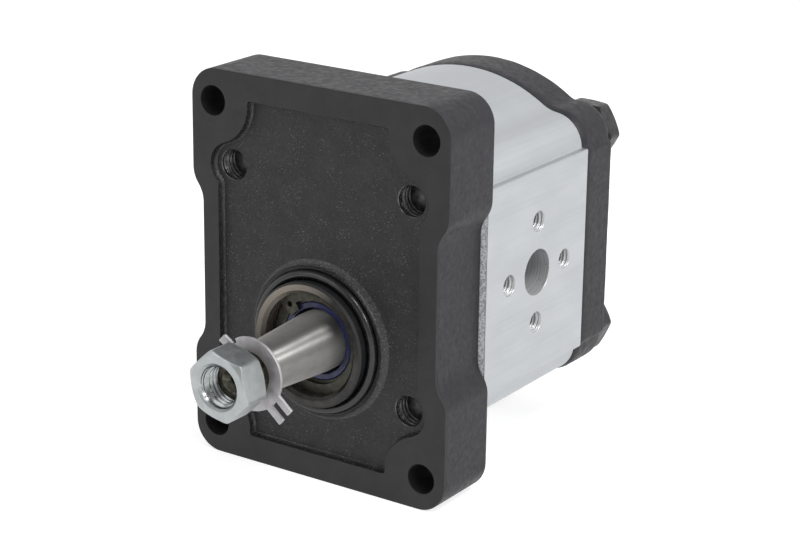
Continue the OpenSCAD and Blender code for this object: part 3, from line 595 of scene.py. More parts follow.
class Finish(Nodes):
    """A material in the making: one shader, fed by patterns on the piece's own coordinates."""

    def __init__(self, name, base, metallic, roughness, specular=0.5):
        self.material = bpy.data.materials.new(PREFIX + name)
        self.material.use_nodes = True
        super().__init__(self.material.node_tree)
        self.shader = self.tree.nodes["Principled BSDF"]
        self.feed(self.shader, {"Base Color": (*base, 1.0), "Metallic": metallic,
                                "Roughness": roughness, "Specular IOR Level": specular})
        self.place = self.node("ShaderNodeTexCoord").outputs["Object"]
        self.normal = None

    def noise(self, size, detail=3.0, stretch=(1.0, 1.0, 1.0), shift=0.0):
        """Soft noise whose blots are that many millimetres across, drawn out by the stretch."""
        scale = [1 / (size * MM * k) for k in stretch]
        spot = self.node("ShaderNodeMapping", {
            "Vector": self.place, "Scale": scale, "Location": (shift, shift, shift)})
        return self.node("ShaderNodeTexNoise", {
            "Vector": spot.outputs[0], "Scale": 1.0, "Detail": detail}).outputs[0]

    def mixed(self, first, second, share):
        """A share of one pattern and the rest of another."""
        return self.math("ADD", self.math("MULTIPLY", first, share),
                         self.math("MULTIPLY", second, 1 - share))

    def blend(self, share, low, high):
        """A colour between two, each a colour or another node's output."""
        low, high = [value if isinstance(value, bpy.types.NodeSocket) else (*value, 1.0)
                     for value in (low, high)]
        return self.node("ShaderNodeMix", {0: share, 6: low, 7: high},
                         data_type="RGBA").outputs[2]

    def mottled(self, pattern, dark, light, low=0.35, high=0.65):
        """A colour that turns from dark to light while a pattern rises from low to high."""
        return self.blend(self.levels(pattern, low, high), dark, light)

    def gloss(self, pattern, smooth, rough):
        """A roughness that follows a pattern between two values."""
        return self.levels(pattern, 0.3, 0.7, smooth, rough)

    def bump(self, height, depth):
        """Adds relief of that many millimetres on top of the relief so far."""
        inputs = {"Height": height, "Distance": depth * MM, "Strength": 1.0}
        if self.normal:
            inputs["Normal"] = self.normal
        self.normal = self.node("ShaderNodeBump", inputs).outputs[0]

    def done(self, base, roughness):
        """Feeds the patterns to the shader and hands over the material."""
        self.feed(self.shader, {"Base Color": base, "Roughness": roughness})
        if self.normal:
            self.feed(self.shader, {"Normal": self.normal})
        return self.material


def shade(base, share):
    """A colour made lighter or darker."""
    return tuple(channel * share for channel in base)


def cast_iron(colours):
    """Blackened cast skin: pebbled, with fine bright specks in loose clusters that are painted
    glints.
    """
    finish = Finish("cast_iron", colours.iron, 0.0, 0.55, 0.34)
    patches = finish.mottled(finish.noise(6), shade(colours.iron, 0.8), shade(colours.iron, 1.25))
    clusters = finish.levels(finish.noise(4.0, 2.0, shift=2.0), 0.42, 0.62, 0.15, 1.0)
    grain_and_painted_glint = finish.levels(finish.noise(0.42, 2.0), 0.61, 0.74)
    # Painted glints: fine specks far lighter than the iron, in loose clusters.
    base = finish.blend(finish.math("MULTIPLY", grain_and_painted_glint, clusters), patches, (0.15, 0.15, 0.155))
    finish.bump(finish.noise(2.4, 2.0), 0.16)
    finish.bump(finish.noise(0.6, 2.0), 0.07)
    return finish.done(base, finish.gloss(finish.noise(0.9), 0.42, 0.62))


def grainy_iron(colours):
    """Rough cast skin of the pocket's wall and the collar's foot: coarse relief that catches
    glints, and lighter specks painted into the colour as glints.
    """
    finish = Finish("grainy_iron", colours.iron, 0.0, 0.36, 0.6)
    grain_and_painted_glint = finish.noise(0.55, 2.0)
    # Painted glints: the lighter specks in the colour stand in for light caught by the coarse
    # grain.
    base = finish.mottled(grain_and_painted_glint, shade(colours.iron, 0.6), (0.055, 0.055, 0.058), 0.52, 0.68)
    finish.bump(grain_and_painted_glint, 0.2)
    return finish.done(base, finish.gloss(finish.noise(1.0), 0.30, 0.46))


def painted_shade_skin_iron(colours):
    """Smoother blackened skin of the outer sides: faint blots and a few bright specks. Its darker
    colour is painted shade for the lamp-lit sides, and the specks are painted glints.
    """
    finish = Finish("painted_shade_skin_iron", colours.skin, 0.0, 0.55, 0.32)
    patches = finish.mottled(finish.noise(5, 4.0), shade(colours.skin, 0.85),
                             shade(colours.skin, 1.25))
    # Painted glints: sparse light specks over the painted-shade skin colour.
    base = finish.mottled(finish.noise(0.45, 1.5), patches, (0.13, 0.13, 0.14), 0.72, 0.82)
    finish.bump(finish.noise(2.8, 2.0), 0.14)
    finish.bump(finish.noise(1.0, 2.0), 0.045)
    return finish.done(base, finish.gloss(finish.noise(1.6), 0.44, 0.60))


def machined_iron(colours):
    """Blackened milled face: fine feed lines and small bright specks painted into the colour as
    glints.
    """
    finish = Finish("machined_iron", colours.iron, 0.0, 0.45, 0.36)
    patches = finish.mottled(finish.noise(9), shade(colours.iron, 0.7), shade(colours.iron, 1.05))
    # Painted glints: sparse specks of light grey in the colour.
    base = finish.mottled(finish.noise(0.35, 1.0), patches, (0.12, 0.12, 0.125), 0.72, 0.80)
    finish.bump(finish.noise(0.25, 2.0, (60.0, 1.0, 1.0)), 0.006)
    finish.bump(finish.noise(0.7, 2.0), 0.012)
    return finish.done(base, finish.gloss(finish.noise(3, 4.0), 0.38, 0.52))


def drilled_iron(colours):
    """Walls of the drilled holes: painted shade, darker than the flange's iron in blots, with rough
    rings from the drill.
    """
    finish = Finish("drilled_iron", shade(colours.iron, 0.5), 0.0, 0.8, 0.25)
    painted_shade_blots = finish.noise(1.5)
    # Painted shade: the hole walls are a third to two thirds of the iron's colour.
    base = finish.mottled(painted_shade_blots, shade(colours.iron, 0.3), shade(colours.iron, 0.7))
    finish.bump(finish.noise(0.4, 2.0, (30.0, 1.0, 30.0)), 0.02)
    return finish.done(base, finish.gloss(painted_shade_blots, 0.7, 0.9))


def bare_iron(colours):
    """Turned face of the pilot: dark with oil, with a painted highlight that turns it beige towards
    its upper left.
    """
    finish = Finish("bare_iron", (0.035, 0.032, 0.03), 0.4, 0.3)
    oiled = finish.mottled(finish.noise(3.5, 4.0), (0.012, 0.0115, 0.011), (0.036, 0.033, 0.030))
    # Painted highlight: along this direction the colour turns from the oily dark to a light beige.
    painted_highlight_toward = (-0.55, 0.0, 0.83)
    base = finish.mottled(finish.along(finish.place, painted_highlight_toward), oiled, (0.20, 0.175, 0.145),
                          7 * MM, 17 * MM)
    finish.bump(finish.noise(0.3, 1.0), 0.008)
    return finish.done(base, finish.gloss(finish.noise(1.5), 0.24, 0.38))


def extruded_aluminium(colours):
    """Extruded skin: soft streaks along the body and a faint grain."""
    finish = Finish("extruded_aluminium", colours.aluminium, 1.0, 0.38)
    streaks = finish.noise(0.9, 3.0, (1.0, 60.0, 1.0))
    base = finish.mottled(finish.mixed(streaks, finish.noise(12), 0.6),
                          shade(colours.aluminium, 0.97), shade(colours.aluminium, 1.04),
                          0.38, 0.62)
    finish.bump(streaks, 0.002)
    finish.bump(finish.noise(0.35, 1.0), 0.008)
    return finish.done(base, finish.gloss(streaks, 0.47, 0.53))


def milled_aluminium(colours):
    """Milled port pads: wide faint cutter sweeps."""
    finish = Finish("milled_aluminium", colours.aluminium, 1.0, 0.36)
    sweeps = finish.noise(1.1, 2.0, (1.0, 45.0, 1.0))
    cloud = finish.noise(9, 4.0, (1.0, 2.5, 1.0), 3.0)
    base = finish.mottled(finish.mixed(sweeps, cloud, 0.25), shade(colours.aluminium, 0.93),
                          shade(colours.aluminium, 1.06), 0.38, 0.62)
    finish.bump(sweeps, 0.003)
    finish.bump(finish.noise(0.3, 1.0), 0.006)
    return finish.done(base, finish.gloss(cloud, 0.40, 0.50))


def cut_aluminium(colours):
    """Sawn ends of the body and faces of the bearing blocks: a coarse sparkle. The colour is
    painted light, lighter than the aluminium on ends that the flange shades, and its bright specks
    are painted glints.
    """
    finish = Finish("cut_aluminium", colours.aluminium, 0.1, 0.42)
    grain_and_painted_glint = finish.noise(0.6, 2.0)
    # Painted light and glints: the colour runs up to twice the aluminium's, nearly white.
    base = finish.mottled(grain_and_painted_glint, shade(colours.aluminium, 1.1), shade(colours.aluminium, 2.1),
                          0.40, 0.60)
    finish.bump(grain_and_painted_glint, 0.14)
    return finish.done(base, finish.gloss(finish.noise(1.2), 0.35, 0.5))


def bored_aluminium(colours):
    """Bored and tapped walls, with fine rings from the tool."""
    finish = Finish("bored_aluminium", shade(colours.aluminium, 0.8), 0.35, 0.3)
    tool_rings = finish.noise(0.35, 2.0, (1.0, 30.0, 30.0))
    base = finish.mottled(tool_rings, (0.36, 0.37, 0.37), (0.58, 0.59, 0.60))
    finish.bump(tool_rings, 0.012)
    return finish.done(base, finish.gloss(finish.noise(2.5), 0.25, 0.4))


def black_steel(colours):
    """Blackened steel of the bolts and spring washers, oily and slightly rubbed."""
    finish = Finish("black_steel", (0.02, 0.02, 0.021), 0.1, 0.4, 0.3)
    base = finish.mottled(finish.noise(1.6, 4.0), (0.013, 0.0128, 0.014), (0.042, 0.041, 0.044),
                          0.4, 0.7)
    finish.bump(finish.noise(0.5, 2.0), 0.015)
    return finish.done(base, finish.gloss(finish.noise(2.2), 0.3, 0.5))


def tip_steel(colours):
    """Ends of the through bolts: a grey lighter than the bolts' black steel, painted light that
    lifts the tips out of the shade of their holes.
    """
    finish = Finish("tip_steel", (0.05, 0.05, 0.052), 0.3, 0.4)
    # Painted light: these greys are lighter than the black steel's so that the tips deep in their
    # holes show.
    base = finish.mottled(finish.noise(1.6, 4.0), (0.030, 0.030, 0.031), (0.085, 0.085, 0.088),
                          0.4, 0.7)
    finish.bump(finish.noise(0.5, 2.0), 0.012)
    return finish.done(base, finish.gloss(finish.noise(2.2), 0.3, 0.5))


def bright_zinc(colours):
    """Bright zinc plating with soft blooms and small dents."""
    finish = Finish("bright_zinc", colours.zinc, 0.85, 0.3)
    base = finish.mottled(finish.noise(3.0, 4.0), shade(colours.zinc, 0.92),
                          shade(colours.zinc, 1.06))
    finish.bump(finish.noise(2.0, 1.0), 0.004)
    return finish.done(base, finish.gloss(finish.noise(1.6, 1.0), 0.32, 0.42))


def threaded_zinc(colours):
    """Cut thread of the nut: the same plating, polished by the tap."""
    finish = Finish("threaded_zinc", shade(colours.zinc, 0.8), 1.0, 0.2)
    cloud = finish.noise(1.2, 2.0)
    base = finish.mottled(cloud, shade(colours.zinc, 0.7), shade(colours.zinc, 0.95))
    return finish.done(base, finish.gloss(cloud, 0.16, 0.26))


def dull_zinc(colours):
    """Dull plating on stamped sheet."""
    finish = Finish("dull_zinc", colours.dull_zinc, 0.75, 0.5)
    cloud = finish.noise(2.5, 4.0)
    base = finish.mottled(cloud, shade(colours.dull_zinc, 0.88), shade(colours.dull_zinc, 1.1))
    finish.bump(finish.noise(0.5, 2.0), 0.010)
    return finish.done(base, finish.gloss(cloud, 0.46, 0.6))


def ground_steel(colours):
    """Ground shaft: fine rings round the axis, and light stains. The highlight is drawn out across
    the rings, since the shader's tangent is the direction of the axis."""
    finish = Finish("ground_steel", colours.steel, 1.0, 0.42)
    stains = finish.noise(4.0, 4.0, (1.0, 2.0, 1.0))
    base = finish.mottled(stains, shade(colours.steel, 1.12), shade(colours.steel, 0.85), 0.35, 0.7)
    finish.bump(finish.noise(0.18, 1.0, (40.0, 1.0, 40.0)), 0.003)
    axis = finish.node("ShaderNodeVectorMath", {0: finish.place, 1: (0.0, 0.0, 0.0),
                                                2: (0.0, 1.0, 0.0)}, operation="MULTIPLY_ADD")
    finish.feed(finish.shader, {"Anisotropic": 0.92, "Tangent": axis.outputs[0]})
    return finish.done(base, finish.gloss(stains, 0.44, 0.54))


def tapped_iron(colours):
    """Cut threads in the flange: dark, with a shine on the flanks."""
    finish = Finish("tapped_iron", (0.06, 0.06, 0.06), 0.8, 0.3)
    cloud = finish.noise(1.2, 2.0)
    base = finish.mottled(cloud, (0.045, 0.045, 0.046), (0.12, 0.12, 0.12))
    finish.bump(finish.noise(0.5, 1.0), 0.003)
    return finish.done(base, finish.gloss(cloud, 0.24, 0.4))


def oiled_steel(colours):
    """Threaded end of the shaft, brown with dried oil."""
    finish = Finish("oiled_steel", (0.12, 0.11, 0.075), 0.9, 0.36)
    base = finish.mottled(finish.noise(1.5, 4.0), (0.09, 0.088, 0.072), (0.22, 0.212, 0.17))
    finish.bump(finish.noise(0.4, 2.0), 0.012)
    return finish.done(base, finish.gloss(finish.noise(0.9), 0.3, 0.48))


def ring_rubber(colours):
    """Black rubber with an oily gloss."""
    finish = Finish("ring_rubber", (0.012, 0.012, 0.012), 0.0, 0.32)
    base = finish.mottled(finish.noise(2.0), (0.006, 0.006, 0.006), (0.014, 0.014, 0.014),
                          0.4, 0.7)
    finish.bump(finish.noise(0.6, 2.0), 0.010)
    return finish.done(base, finish.gloss(finish.noise(1.6), 0.17, 0.30))


def seal_rubber(colours):
    """Blue rubber of the shaft seal, slightly dusty."""
    finish = Finish("seal_rubber", colours.blue_rubber, 0.0, 0.4)
    base = finish.mottled(finish.noise(1.8), shade(colours.blue_rubber, 0.7),
                          shade(colours.blue_rubber, 1.6), 0.35, 0.7)
    finish.bump(finish.noise(0.5, 2.0), 0.014)
    return finish.done(base, finish.gloss(finish.noise(1.2), 0.3, 0.5))


def spring_steel(colours):
    """Phosphated spring steel, olive brown."""
    finish = Finish("spring_steel", (0.02, 0.018, 0.012), 0.4, 0.4)
    base = finish.mottled(finish.noise(1.3, 4.0), (0.020, 0.019, 0.013), (0.055, 0.052, 0.034))
    finish.bump(finish.noise(0.4, 2.0), 0.012)
    return finish.done(base, finish.gloss(finish.noise(0.9), 0.32, 0.5))


def bearing_bronze(colours):
    """Sintered bronze of the bushes."""
    finish = Finish("bearing_bronze", (0.45, 0.28, 0.12), 1.0, 0.35)
    base = finish.mottled(finish.noise(0.6), (0.36, 0.21, 0.09), (0.52, 0.34, 0.16))
    finish.bump(finish.noise(0.3, 2.0), 0.01)
    return finish.done(base, finish.gloss(finish.noise(1.0), 0.3, 0.45))


def white_plastic(colours):
    """Hard white plastic of the backup rings."""
    finish = Finish("white_plastic", (0.75, 0.75, 0.70), 0.0, 0.45)
    base = finish.mottled(finish.noise(2.0), (0.70, 0.70, 0.65), (0.80, 0.80, 0.76))
    finish.bump(finish.noise(0.4, 2.0), 0.006)
    return finish.done(base, finish.gloss(finish.noise(1.0), 0.4, 0.55))


def finish_of(maker, context):
    """The material that a maker gives, made once."""
    found = bpy.data.materials.get(PREFIX + maker.__name__)
    return found or maker(read(context, "pump_colours"))


def flange_outline(sizes, half_w, half_h):
    """The flange's outline: straight ends and a waist, joined by two arcs of opposite turn whose
    common tangent leans by the angle whose cosine is 1 - inset / (2 radius)."""
    radius = sizes.waist_r
    lean = np.arccos(1 - sizes.waist_inset / (2 * radius))
    waist_w = half_w - sizes.waist_inset
    full_z = sizes.waist_half + 2 * radius * np.sin(lean)
    corner = np.array([half_w, half_h]) - sizes.corner_r
    quarter = np.concatenate([
        [[waist_w, 0.0]],
        arc((waist_w + radius, sizes.waist_half), radius, np.pi, np.pi - lean),
        arc((half_w - radius, full_z), radius, -lean, 0.0),
        arc(corner, sizes.corner_r, 0.0, np.pi / 2),
        [[0.0, half_h]],
    ])
    return evenly(quarters(quarter), 0.8)


def pocket_outline(sizes, half_w, half_h, bolt_half):
    """The cast pocket's outline: out round each bolt hole and in round each mounting hole."""
    side_w = half_w - sizes.side_band
    end_h = half_h - sizes.end_band
    mount = np.array([sizes.pitch_x, sizes.pitch_z]) / 2
    bolt = np.array([bolt_half, bolt_half])
    step = mount - bolt
    reach = np.hypot(*step)
    bulge_r = reach - sizes.land_r
    toward = np.arctan2(step[1], step[0])
    start = -np.arccos((side_w - bolt_half) / bulge_r)
    end = np.pi - np.arcsin((end_h - mount[1]) / sizes.land_r)
    quarter = np.concatenate([
        [[side_w, 0.0]],
        arc(bolt, bulge_r, start, toward),
        arc(mount, sizes.land_r, toward + np.pi, end),
        [[0.0, end_h]],
    ])
    return softened(quarters(quarter), 0.7, 0.8)


def corner_places(half_x, half_z, mid_z):
    """The four corners of a rectangle about the pump's middle."""
    return [(sx * half_x, mid_z + sz * half_z) for sx in (-1, 1) for sz in (-1, 1)]


def add_pilot(shell, sizes, pilot_y, rear):
    """The collar with the ring seal's groove, the pilot, and the bore for the shaft seal with the
    retaining ring's slot. Towards the pocket the collar widens with a power of the depth."""
    depth, steps, lip, relief_y = sizes.pocket_depth, 192, 0.1, -2.0
    share = np.linspace(0, 1, 6)
    flare = zip(sizes.collar_r + sizes.collar_flare * share ** 2.2, depth * share)
    turned(shell, list(flare), grainy_iron, steps=steps)
    pilot_r, relief_r = sizes.pilot_r, sizes.pilot_r - sizes.pilot_relief
    end_r = pilot_r - sizes.pilot_chamfer * 0.9
    turned(shell, [(sizes.collar_r, 0.0), (sizes.groove_r + lip, 0.0), (sizes.groove_r, lip),
                   (sizes.groove_r, sizes.groove_depth), (relief_r, sizes.groove_depth),
                   (relief_r, relief_y), (pilot_r, relief_y - 0.15),
                   (pilot_r, pilot_y + sizes.pilot_chamfer), (end_r, pilot_y)],
           machined_iron, steps=steps)
    bore_r, lead, slot_half = sizes.seal_bore_r, 1.0, 0.65
    slot_r = bore_r + 0.7
    turned(shell, [(end_r, pilot_y), (bore_r + lead, pilot_y), (bore_r, pilot_y + lead),
                   (bore_r, -slot_half), (slot_r, -slot_half), (slot_r, slot_half),
                   (bore_r, slot_half), (bore_r, sizes.seal_bore_end),
                   (sizes.passage_r, sizes.seal_bore_end), (sizes.passage_r, rear)],
           bare_iron, steps=steps)


def bolt_passage(shell, tap, place, depth, rear):
    """A bolt's way through the flange: a countersunk mouth, a thread, a cone and a clear hole."""
    start, cone = depth + tap.mouth, 0.5
    turned(shell, [(tap.crest_r + tap.mouth, depth), (tap.crest_r, start)], tapped_iron, "y", place)
    thread(shell, tap.crest_r, tap.root_r, tap.end, start, tap.pitch, tapped_iron, "y", place)
    turned(shell, [(tap.crest_r, tap.end), (tap.clear_r, tap.end + cone), (tap.clear_r, rear)],
           machined_iron, "y", place)


def build_flange(context):
    """The mounting flange: a closed shell of cast sides, milled faces, pocket, pilot and holes."""
    sizes = read(context, "pump_flange")
    body = read(context, "pump_body")
    low, high = box("front_flange")
    half_w, half_h = high[0], (high[2] - low[2]) / 2
    mid_z = (high[2] + low[2]) / 2
    rear, depth = high[1], sizes.pocket_depth
    shell = Shell(cast_iron, machined_iron, bare_iron, drilled_iron, tapped_iron, painted_shade_skin_iron,
                  grainy_iron)
    lift = np.array([0.0, mid_z])
    outer = flange_outline(sizes, half_w, half_h) + lift
    pocket = pocket_outline(sizes, half_w, half_h, body.bolt_half) + lift
    mounts = corner_places(sizes.pitch_x / 2, sizes.pitch_z / 2, mid_z)
    bolts = corner_places(body.bolt_half, body.bolt_half, mid_z)

    edge, rear_edge = sizes.edge, sizes.rear_edge
    edge_wall(shell, outer, broken(edge, 0.0, 1), machined_iron)
    edge_wall(shell, outer, [(0.0, y) for y in np.linspace(edge, rear - rear_edge, 14)], painted_shade_skin_iron)
    edge_wall(shell, outer, rounded(rear_edge, rear, 7), painted_shade_skin_iron)

    mouth = 0.1
    hole_r, mouth_r = sizes.hole_r, sizes.hole_r + mouth
    mount_rings = [ring(place, mouth_r) for place in mounts]
    flat_face(shell, 0.0, [inset(outer, edge), pocket, *mount_rings], machined_iron)
    for place in mounts:
        turned(shell, [(mouth_r, 0.0), (hole_r, mouth), (hole_r, rear - mouth), (mouth_r, rear)],
               drilled_iron, "y", place)

    foot = 0.8
    edge_wall(shell, pocket, [(0.0, 0.0), (0.1, depth * 0.3), (0.22, depth * 0.6),
                              (0.45, depth * 0.85), (foot, depth)], grainy_iron)
    tap = SimpleNamespace(crest_r=4.3, root_r=4.95, mouth=0.25, end=10.5, pitch=1.5,
                          clear_r=body.bolt_hole_r - 0.3)
    floor = [inset(pocket, foot), ring((0.0, 0.0), sizes.collar_r + sizes.collar_flare, 192),
             *[ring(place, tap.crest_r + tap.mouth) for place in bolts]]
    spread = spread_points((-half_w, mid_z - half_h), (half_w, mid_z + half_h), 1.7, floor)
    flat_face(shell, depth, floor, cast_iron, loose=spread)
    add_pilot(shell, sizes, low[1], rear)
    for place in bolts:
        bolt_passage(shell, tap, place, depth, rear)
    back = [inset(outer, rear_edge), ring((0.0, 0.0), sizes.passage_r, 192), *mount_rings,
            *[ring(place, tap.clear_r) for place in bolts]]
    flat_face(shell, rear, back, machined_iron)
    make_piece(shell, context, "flange", "housing", ["front_flange"], CAST_HEIGHT)


def lobed_outline(arc_r, ear_r, hollow_r, bolt_half, side_w, side_h, softness, step):
    """Outline of the body or the cover: round top and bottom arcs, a round ear at each bolt and
    flat sides. The arc of a hollow touches both circles, since its centre lies outside each of
    them by its own radius."""
    ear = np.array([bolt_half, bolt_half])
    reach = np.hypot(*ear)
    from_middle, from_ear = arc_r + hollow_r, ear_r + hollow_r
    along = (reach ** 2 + from_middle ** 2 - from_ear ** 2) / (2 * reach)
    across = np.sqrt(from_middle ** 2 - along ** 2)
    unit = ear / reach
    hollow = unit * along + across * np.array([-unit[1], unit[0]])
    ear_start = np.arcsin(np.clip((side_h - bolt_half) / ear_r, -1, 1))
    ear_end = np.arctan2(*(hollow - ear)[::-1])
    arc_start = np.arctan2(hollow[1], hollow[0])
    quarter = np.concatenate([
        [[side_w, 0.0], [side_w, side_h]],
        arc(ear, ear_r, ear_start, ear_end),
        arc(hollow, hollow_r, ear_end + np.pi, arc_start + np.pi, 16),
        arc((0.0, 0.0), arc_r, arc_start, np.pi / 2, 48),
    ])
    return softened(quarters(quarter), softness, step)


def tapped_hole(shell, face_x, centre, radius, depth, pitch, mouth):
    """A threaded blind hole into a port pad, with a countersunk mouth and a drilled cone."""
    side, steps, thread_height = np.sign(face_x), 48, 0.54 * pitch
    start, end = face_x - side * mouth, face_x - side * depth
    turned(shell, [(radius + mouth, face_x), (radius, start)], bored_aluminium, "x", centre, steps)
    order = (end, start) if side > 0 else (start, end)
    thread(shell, radius, radius - thread_height, *order, pitch, bored_aluminium, "x", centre,
           steps)
    shoulder = (radius * 0.8, end - side * 0.5)
    turned(shell, [(radius, end), shoulder, (0.0, end - side * radius * 0.6)], bored_aluminium,
           "x", centre, steps)


def chamber_x(height, radius, centres):
    """Half width of the gear chamber at a height: that of the nearer of its two circles."""
    near = np.minimum(np.abs(height), np.abs(centres - height))
    return np.sqrt(np.maximum(radius ** 2 - near ** 2, 0))


def chamber_wall(run, radius, mid_z):
    """Place (x, z) on one half of the figure-eight wall, at a run along it from the ridge between
    its two circles. The run over the radius is the angle by which the wall has turned by then."""
    bend = np.arcsin(mid_z / radius) - np.abs(run) / radius
    height = mid_z + np.sign(run) * (mid_z - radius * np.sin(bend))
    return np.stack([radius * np.cos(bend), height], -1)


def chamber_half(shell, port, sizes, run, y0, y1):
    """One half of the figure-eight wall round the gears. It is laid out flat as (run, y), and gets
    its port's round hole there: the run to a height is the radius times the angle to it."""
    radius, mid_z = sizes.chamber_r, sizes.centres / 2
    turn = circle(64)
    height = port.inner_r * np.sin(turn)
    toward = np.arcsin(mid_z / radius) - np.arcsin((mid_z - np.abs(height)) / radius)
    hole = np.stack([np.sign(height) * toward * radius,
                     (y0 + y1) / 2 + port.inner_r * np.cos(turn)], -1)
    depths = np.linspace(y0, y1, 19)
    border = np.concatenate([
        np.stack([run, np.full_like(run, y0)], -1),
        np.stack([np.full_like(depths, run[-1]), depths], -1)[1:-1],
        np.stack([run[::-1], np.full_like(run, y1)], -1),
        np.stack([np.full_like(depths, run[0]), depths[::-1]], -1)[1:-1],
    ])
    inner = np.stack(np.meshgrid(run[1:-1], depths[1:-1]), -1).reshape(-1, 2)
    points, faces = filled([border, hole], inner[within(inner, [border, hole], 0.6)])
    x, z = chamber_wall(points[:, 0], radius, mid_z).T
    shell.add(np.stack([port.side * x, points[:, 1], z], -1), faces, bored_aluminium)


def port_bore(shell, port, sizes, face_x, mid_y):
    """A port bored from its pad into the gear chamber, with an optional step to a narrower bore.
    Its inner end follows the chamber's wall."""
    mid_z, turn, cone = sizes.centres / 2, circle(64), 0.4
    end = chamber_x(mid_z + port.inner_r * np.sin(turn), sizes.chamber_r, sizes.centres)
    profile = [(port.radius + PORT_LIP, face_x), (port.radius, face_x - PORT_LIP)]
    if port.step:
        profile += [(port.radius, face_x - port.step), (port.inner_r, face_x - port.step - cone)]
    line = np.array(profile)
    last = line[-1, 1]
    share = np.linspace(0, 1, 6)[1:, None]
    depth = np.concatenate([np.repeat(line[:, 1:], len(turn), 1), last + (end - last) * share])
    widths = np.concatenate([line[:, :1], np.full_like(share, port.inner_r)])
    shell.grid(rings(widths, port.side * depth, turn[None, :], "x", (mid_y, mid_z)),
               bored_aluminium, wrap=True)


def milled_pad(shell, port, sizes, rows, limit, face_x, mid_y, mid_z):
    """The milled pad of a port, between the two skins: its broken edges, its face and its four
    threaded holes. The rows are the outline, carried from the front end to the rear one."""
    outline, reach = rows[2], 0.8
    near = np.abs(outline[:, 2] - mid_z) < limit + reach
    flank = rows[:, near & (port.side * outline[:, 0] > 0)]
    flank = flank[:, np.argsort(flank[0, :, 2])]
    first, last = np.searchsorted(flank[0, :, 2], [mid_z - limit, mid_z + limit])
    flank = flank[:, max(first - 1, 0):last + 1]
    for strip in (flank[:3], flank[4:]):
        shell.grid(strip, milled_aluminium)
    border = np.concatenate([flank[2, :, 1:], flank[4, ::-1, 1:]])
    centres = [(mid_y + port.circle_r * np.cos(turn), mid_z + port.circle_r * np.sin(turn))
               for turn in circle(4)]
    loops = [border, ring((mid_y, mid_z), port.radius + PORT_LIP),
             *[ring(centre, port.thread_r + sizes.mouth, 48) for centre in centres]]
    flat_face(shell, port.side * face_x, loops, milled_aluminium, "x")
    for centre in centres:
        tapped_hole(shell, port.side * face_x, centre, port.thread_r, sizes.thread_depth,
                    port.pitch, sizes.mouth)


def build_body(context):
    """The extruded body: outer skin, milled pads with their ports, sawn ends and gear chamber."""
    sizes = read(context, "pump_body")
    low, high = box("pump_body")
    y0, y1, face_x = low[1], high[1], high[0]
    mid_y, mid_z = (y0 + y1) / 2, (low[2] + high[2]) / 2
    shell = Shell(extruded_aluminium, milled_aluminium, cut_aluminium, bored_aluminium)
    outline = lobed_outline((high[2] - low[2]) / 2, sizes.ear_r, sizes.hollow_r, sizes.bolt_half,
                            face_x, sizes.pad_half, sizes.notch, 0.4) + [0.0, mid_z]
    front, back = broken(sizes.edge, y0, 1), broken(sizes.edge, y1, -1)
    rows = carried(outline, [*front, (0.0, mid_y), *back[::-1]])
    skin_lap = 1.6
    limit = sizes.pad_half - skin_lap
    for sign in (1, -1):
        skin = sign * (outline[:, 1] - mid_z) >= limit
        start = np.flatnonzero(skin & ~np.roll(skin, 1))[0]
        shell.grid(np.roll(rows, -start, 1)[:, :skin.sum()], extruded_aluminium)

    sweep = np.arcsin(sizes.centres / 2 / sizes.chamber_r) + np.pi / 2
    lower = np.linspace(-sweep, 0, 60) * sizes.chamber_r
    run = np.concatenate([lower, -lower[-2::-1]])
    pressure = SimpleNamespace(
        side=1, radius=sizes.pressure_r, inner_r=sizes.pressure_r, step=0.0,
        circle_r=sizes.pressure_circle, thread_r=sizes.pressure_thread_r, pitch=1.0)
    suction = SimpleNamespace(
        side=-1, radius=sizes.suction_r, inner_r=sizes.suction_inner_r, step=sizes.suction_step,
        circle_r=sizes.suction_circle, thread_r=sizes.suction_thread_r, pitch=1.25)
    for port in (pressure, suction):
        milled_pad(shell, port, sizes, rows, limit, face_x, mid_y, mid_z)
        port_bore(shell, port, sizes, face_x, mid_y)
        chamber_half(shell, port, sizes, run, y0, y1)

    half = chamber_wall(run, sizes.chamber_r, mid_z)
    chamber = np.concatenate([half, half[-2:0:-1] * [-1, 1]])
    bolts = corner_places(sizes.bolt_half, sizes.bolt_half, mid_z)
    holes = [ring(place, sizes.bolt_hole_r) for place in bolts]
    for depth, rim in ((y0, rows[0]), (y1, rows[-1])):
        flat_face(shell, depth, [rim[:, [0, 2]], chamber, *holes], cut_aluminium)
    for place in bolts:
        turned(shell, [(sizes.bolt_hole_r, y0), (sizes.bolt_hole_r, y1)], bored_aluminium, "y",
               place)
    make_piece(shell, context, "body", "housing", ["pump_body"])


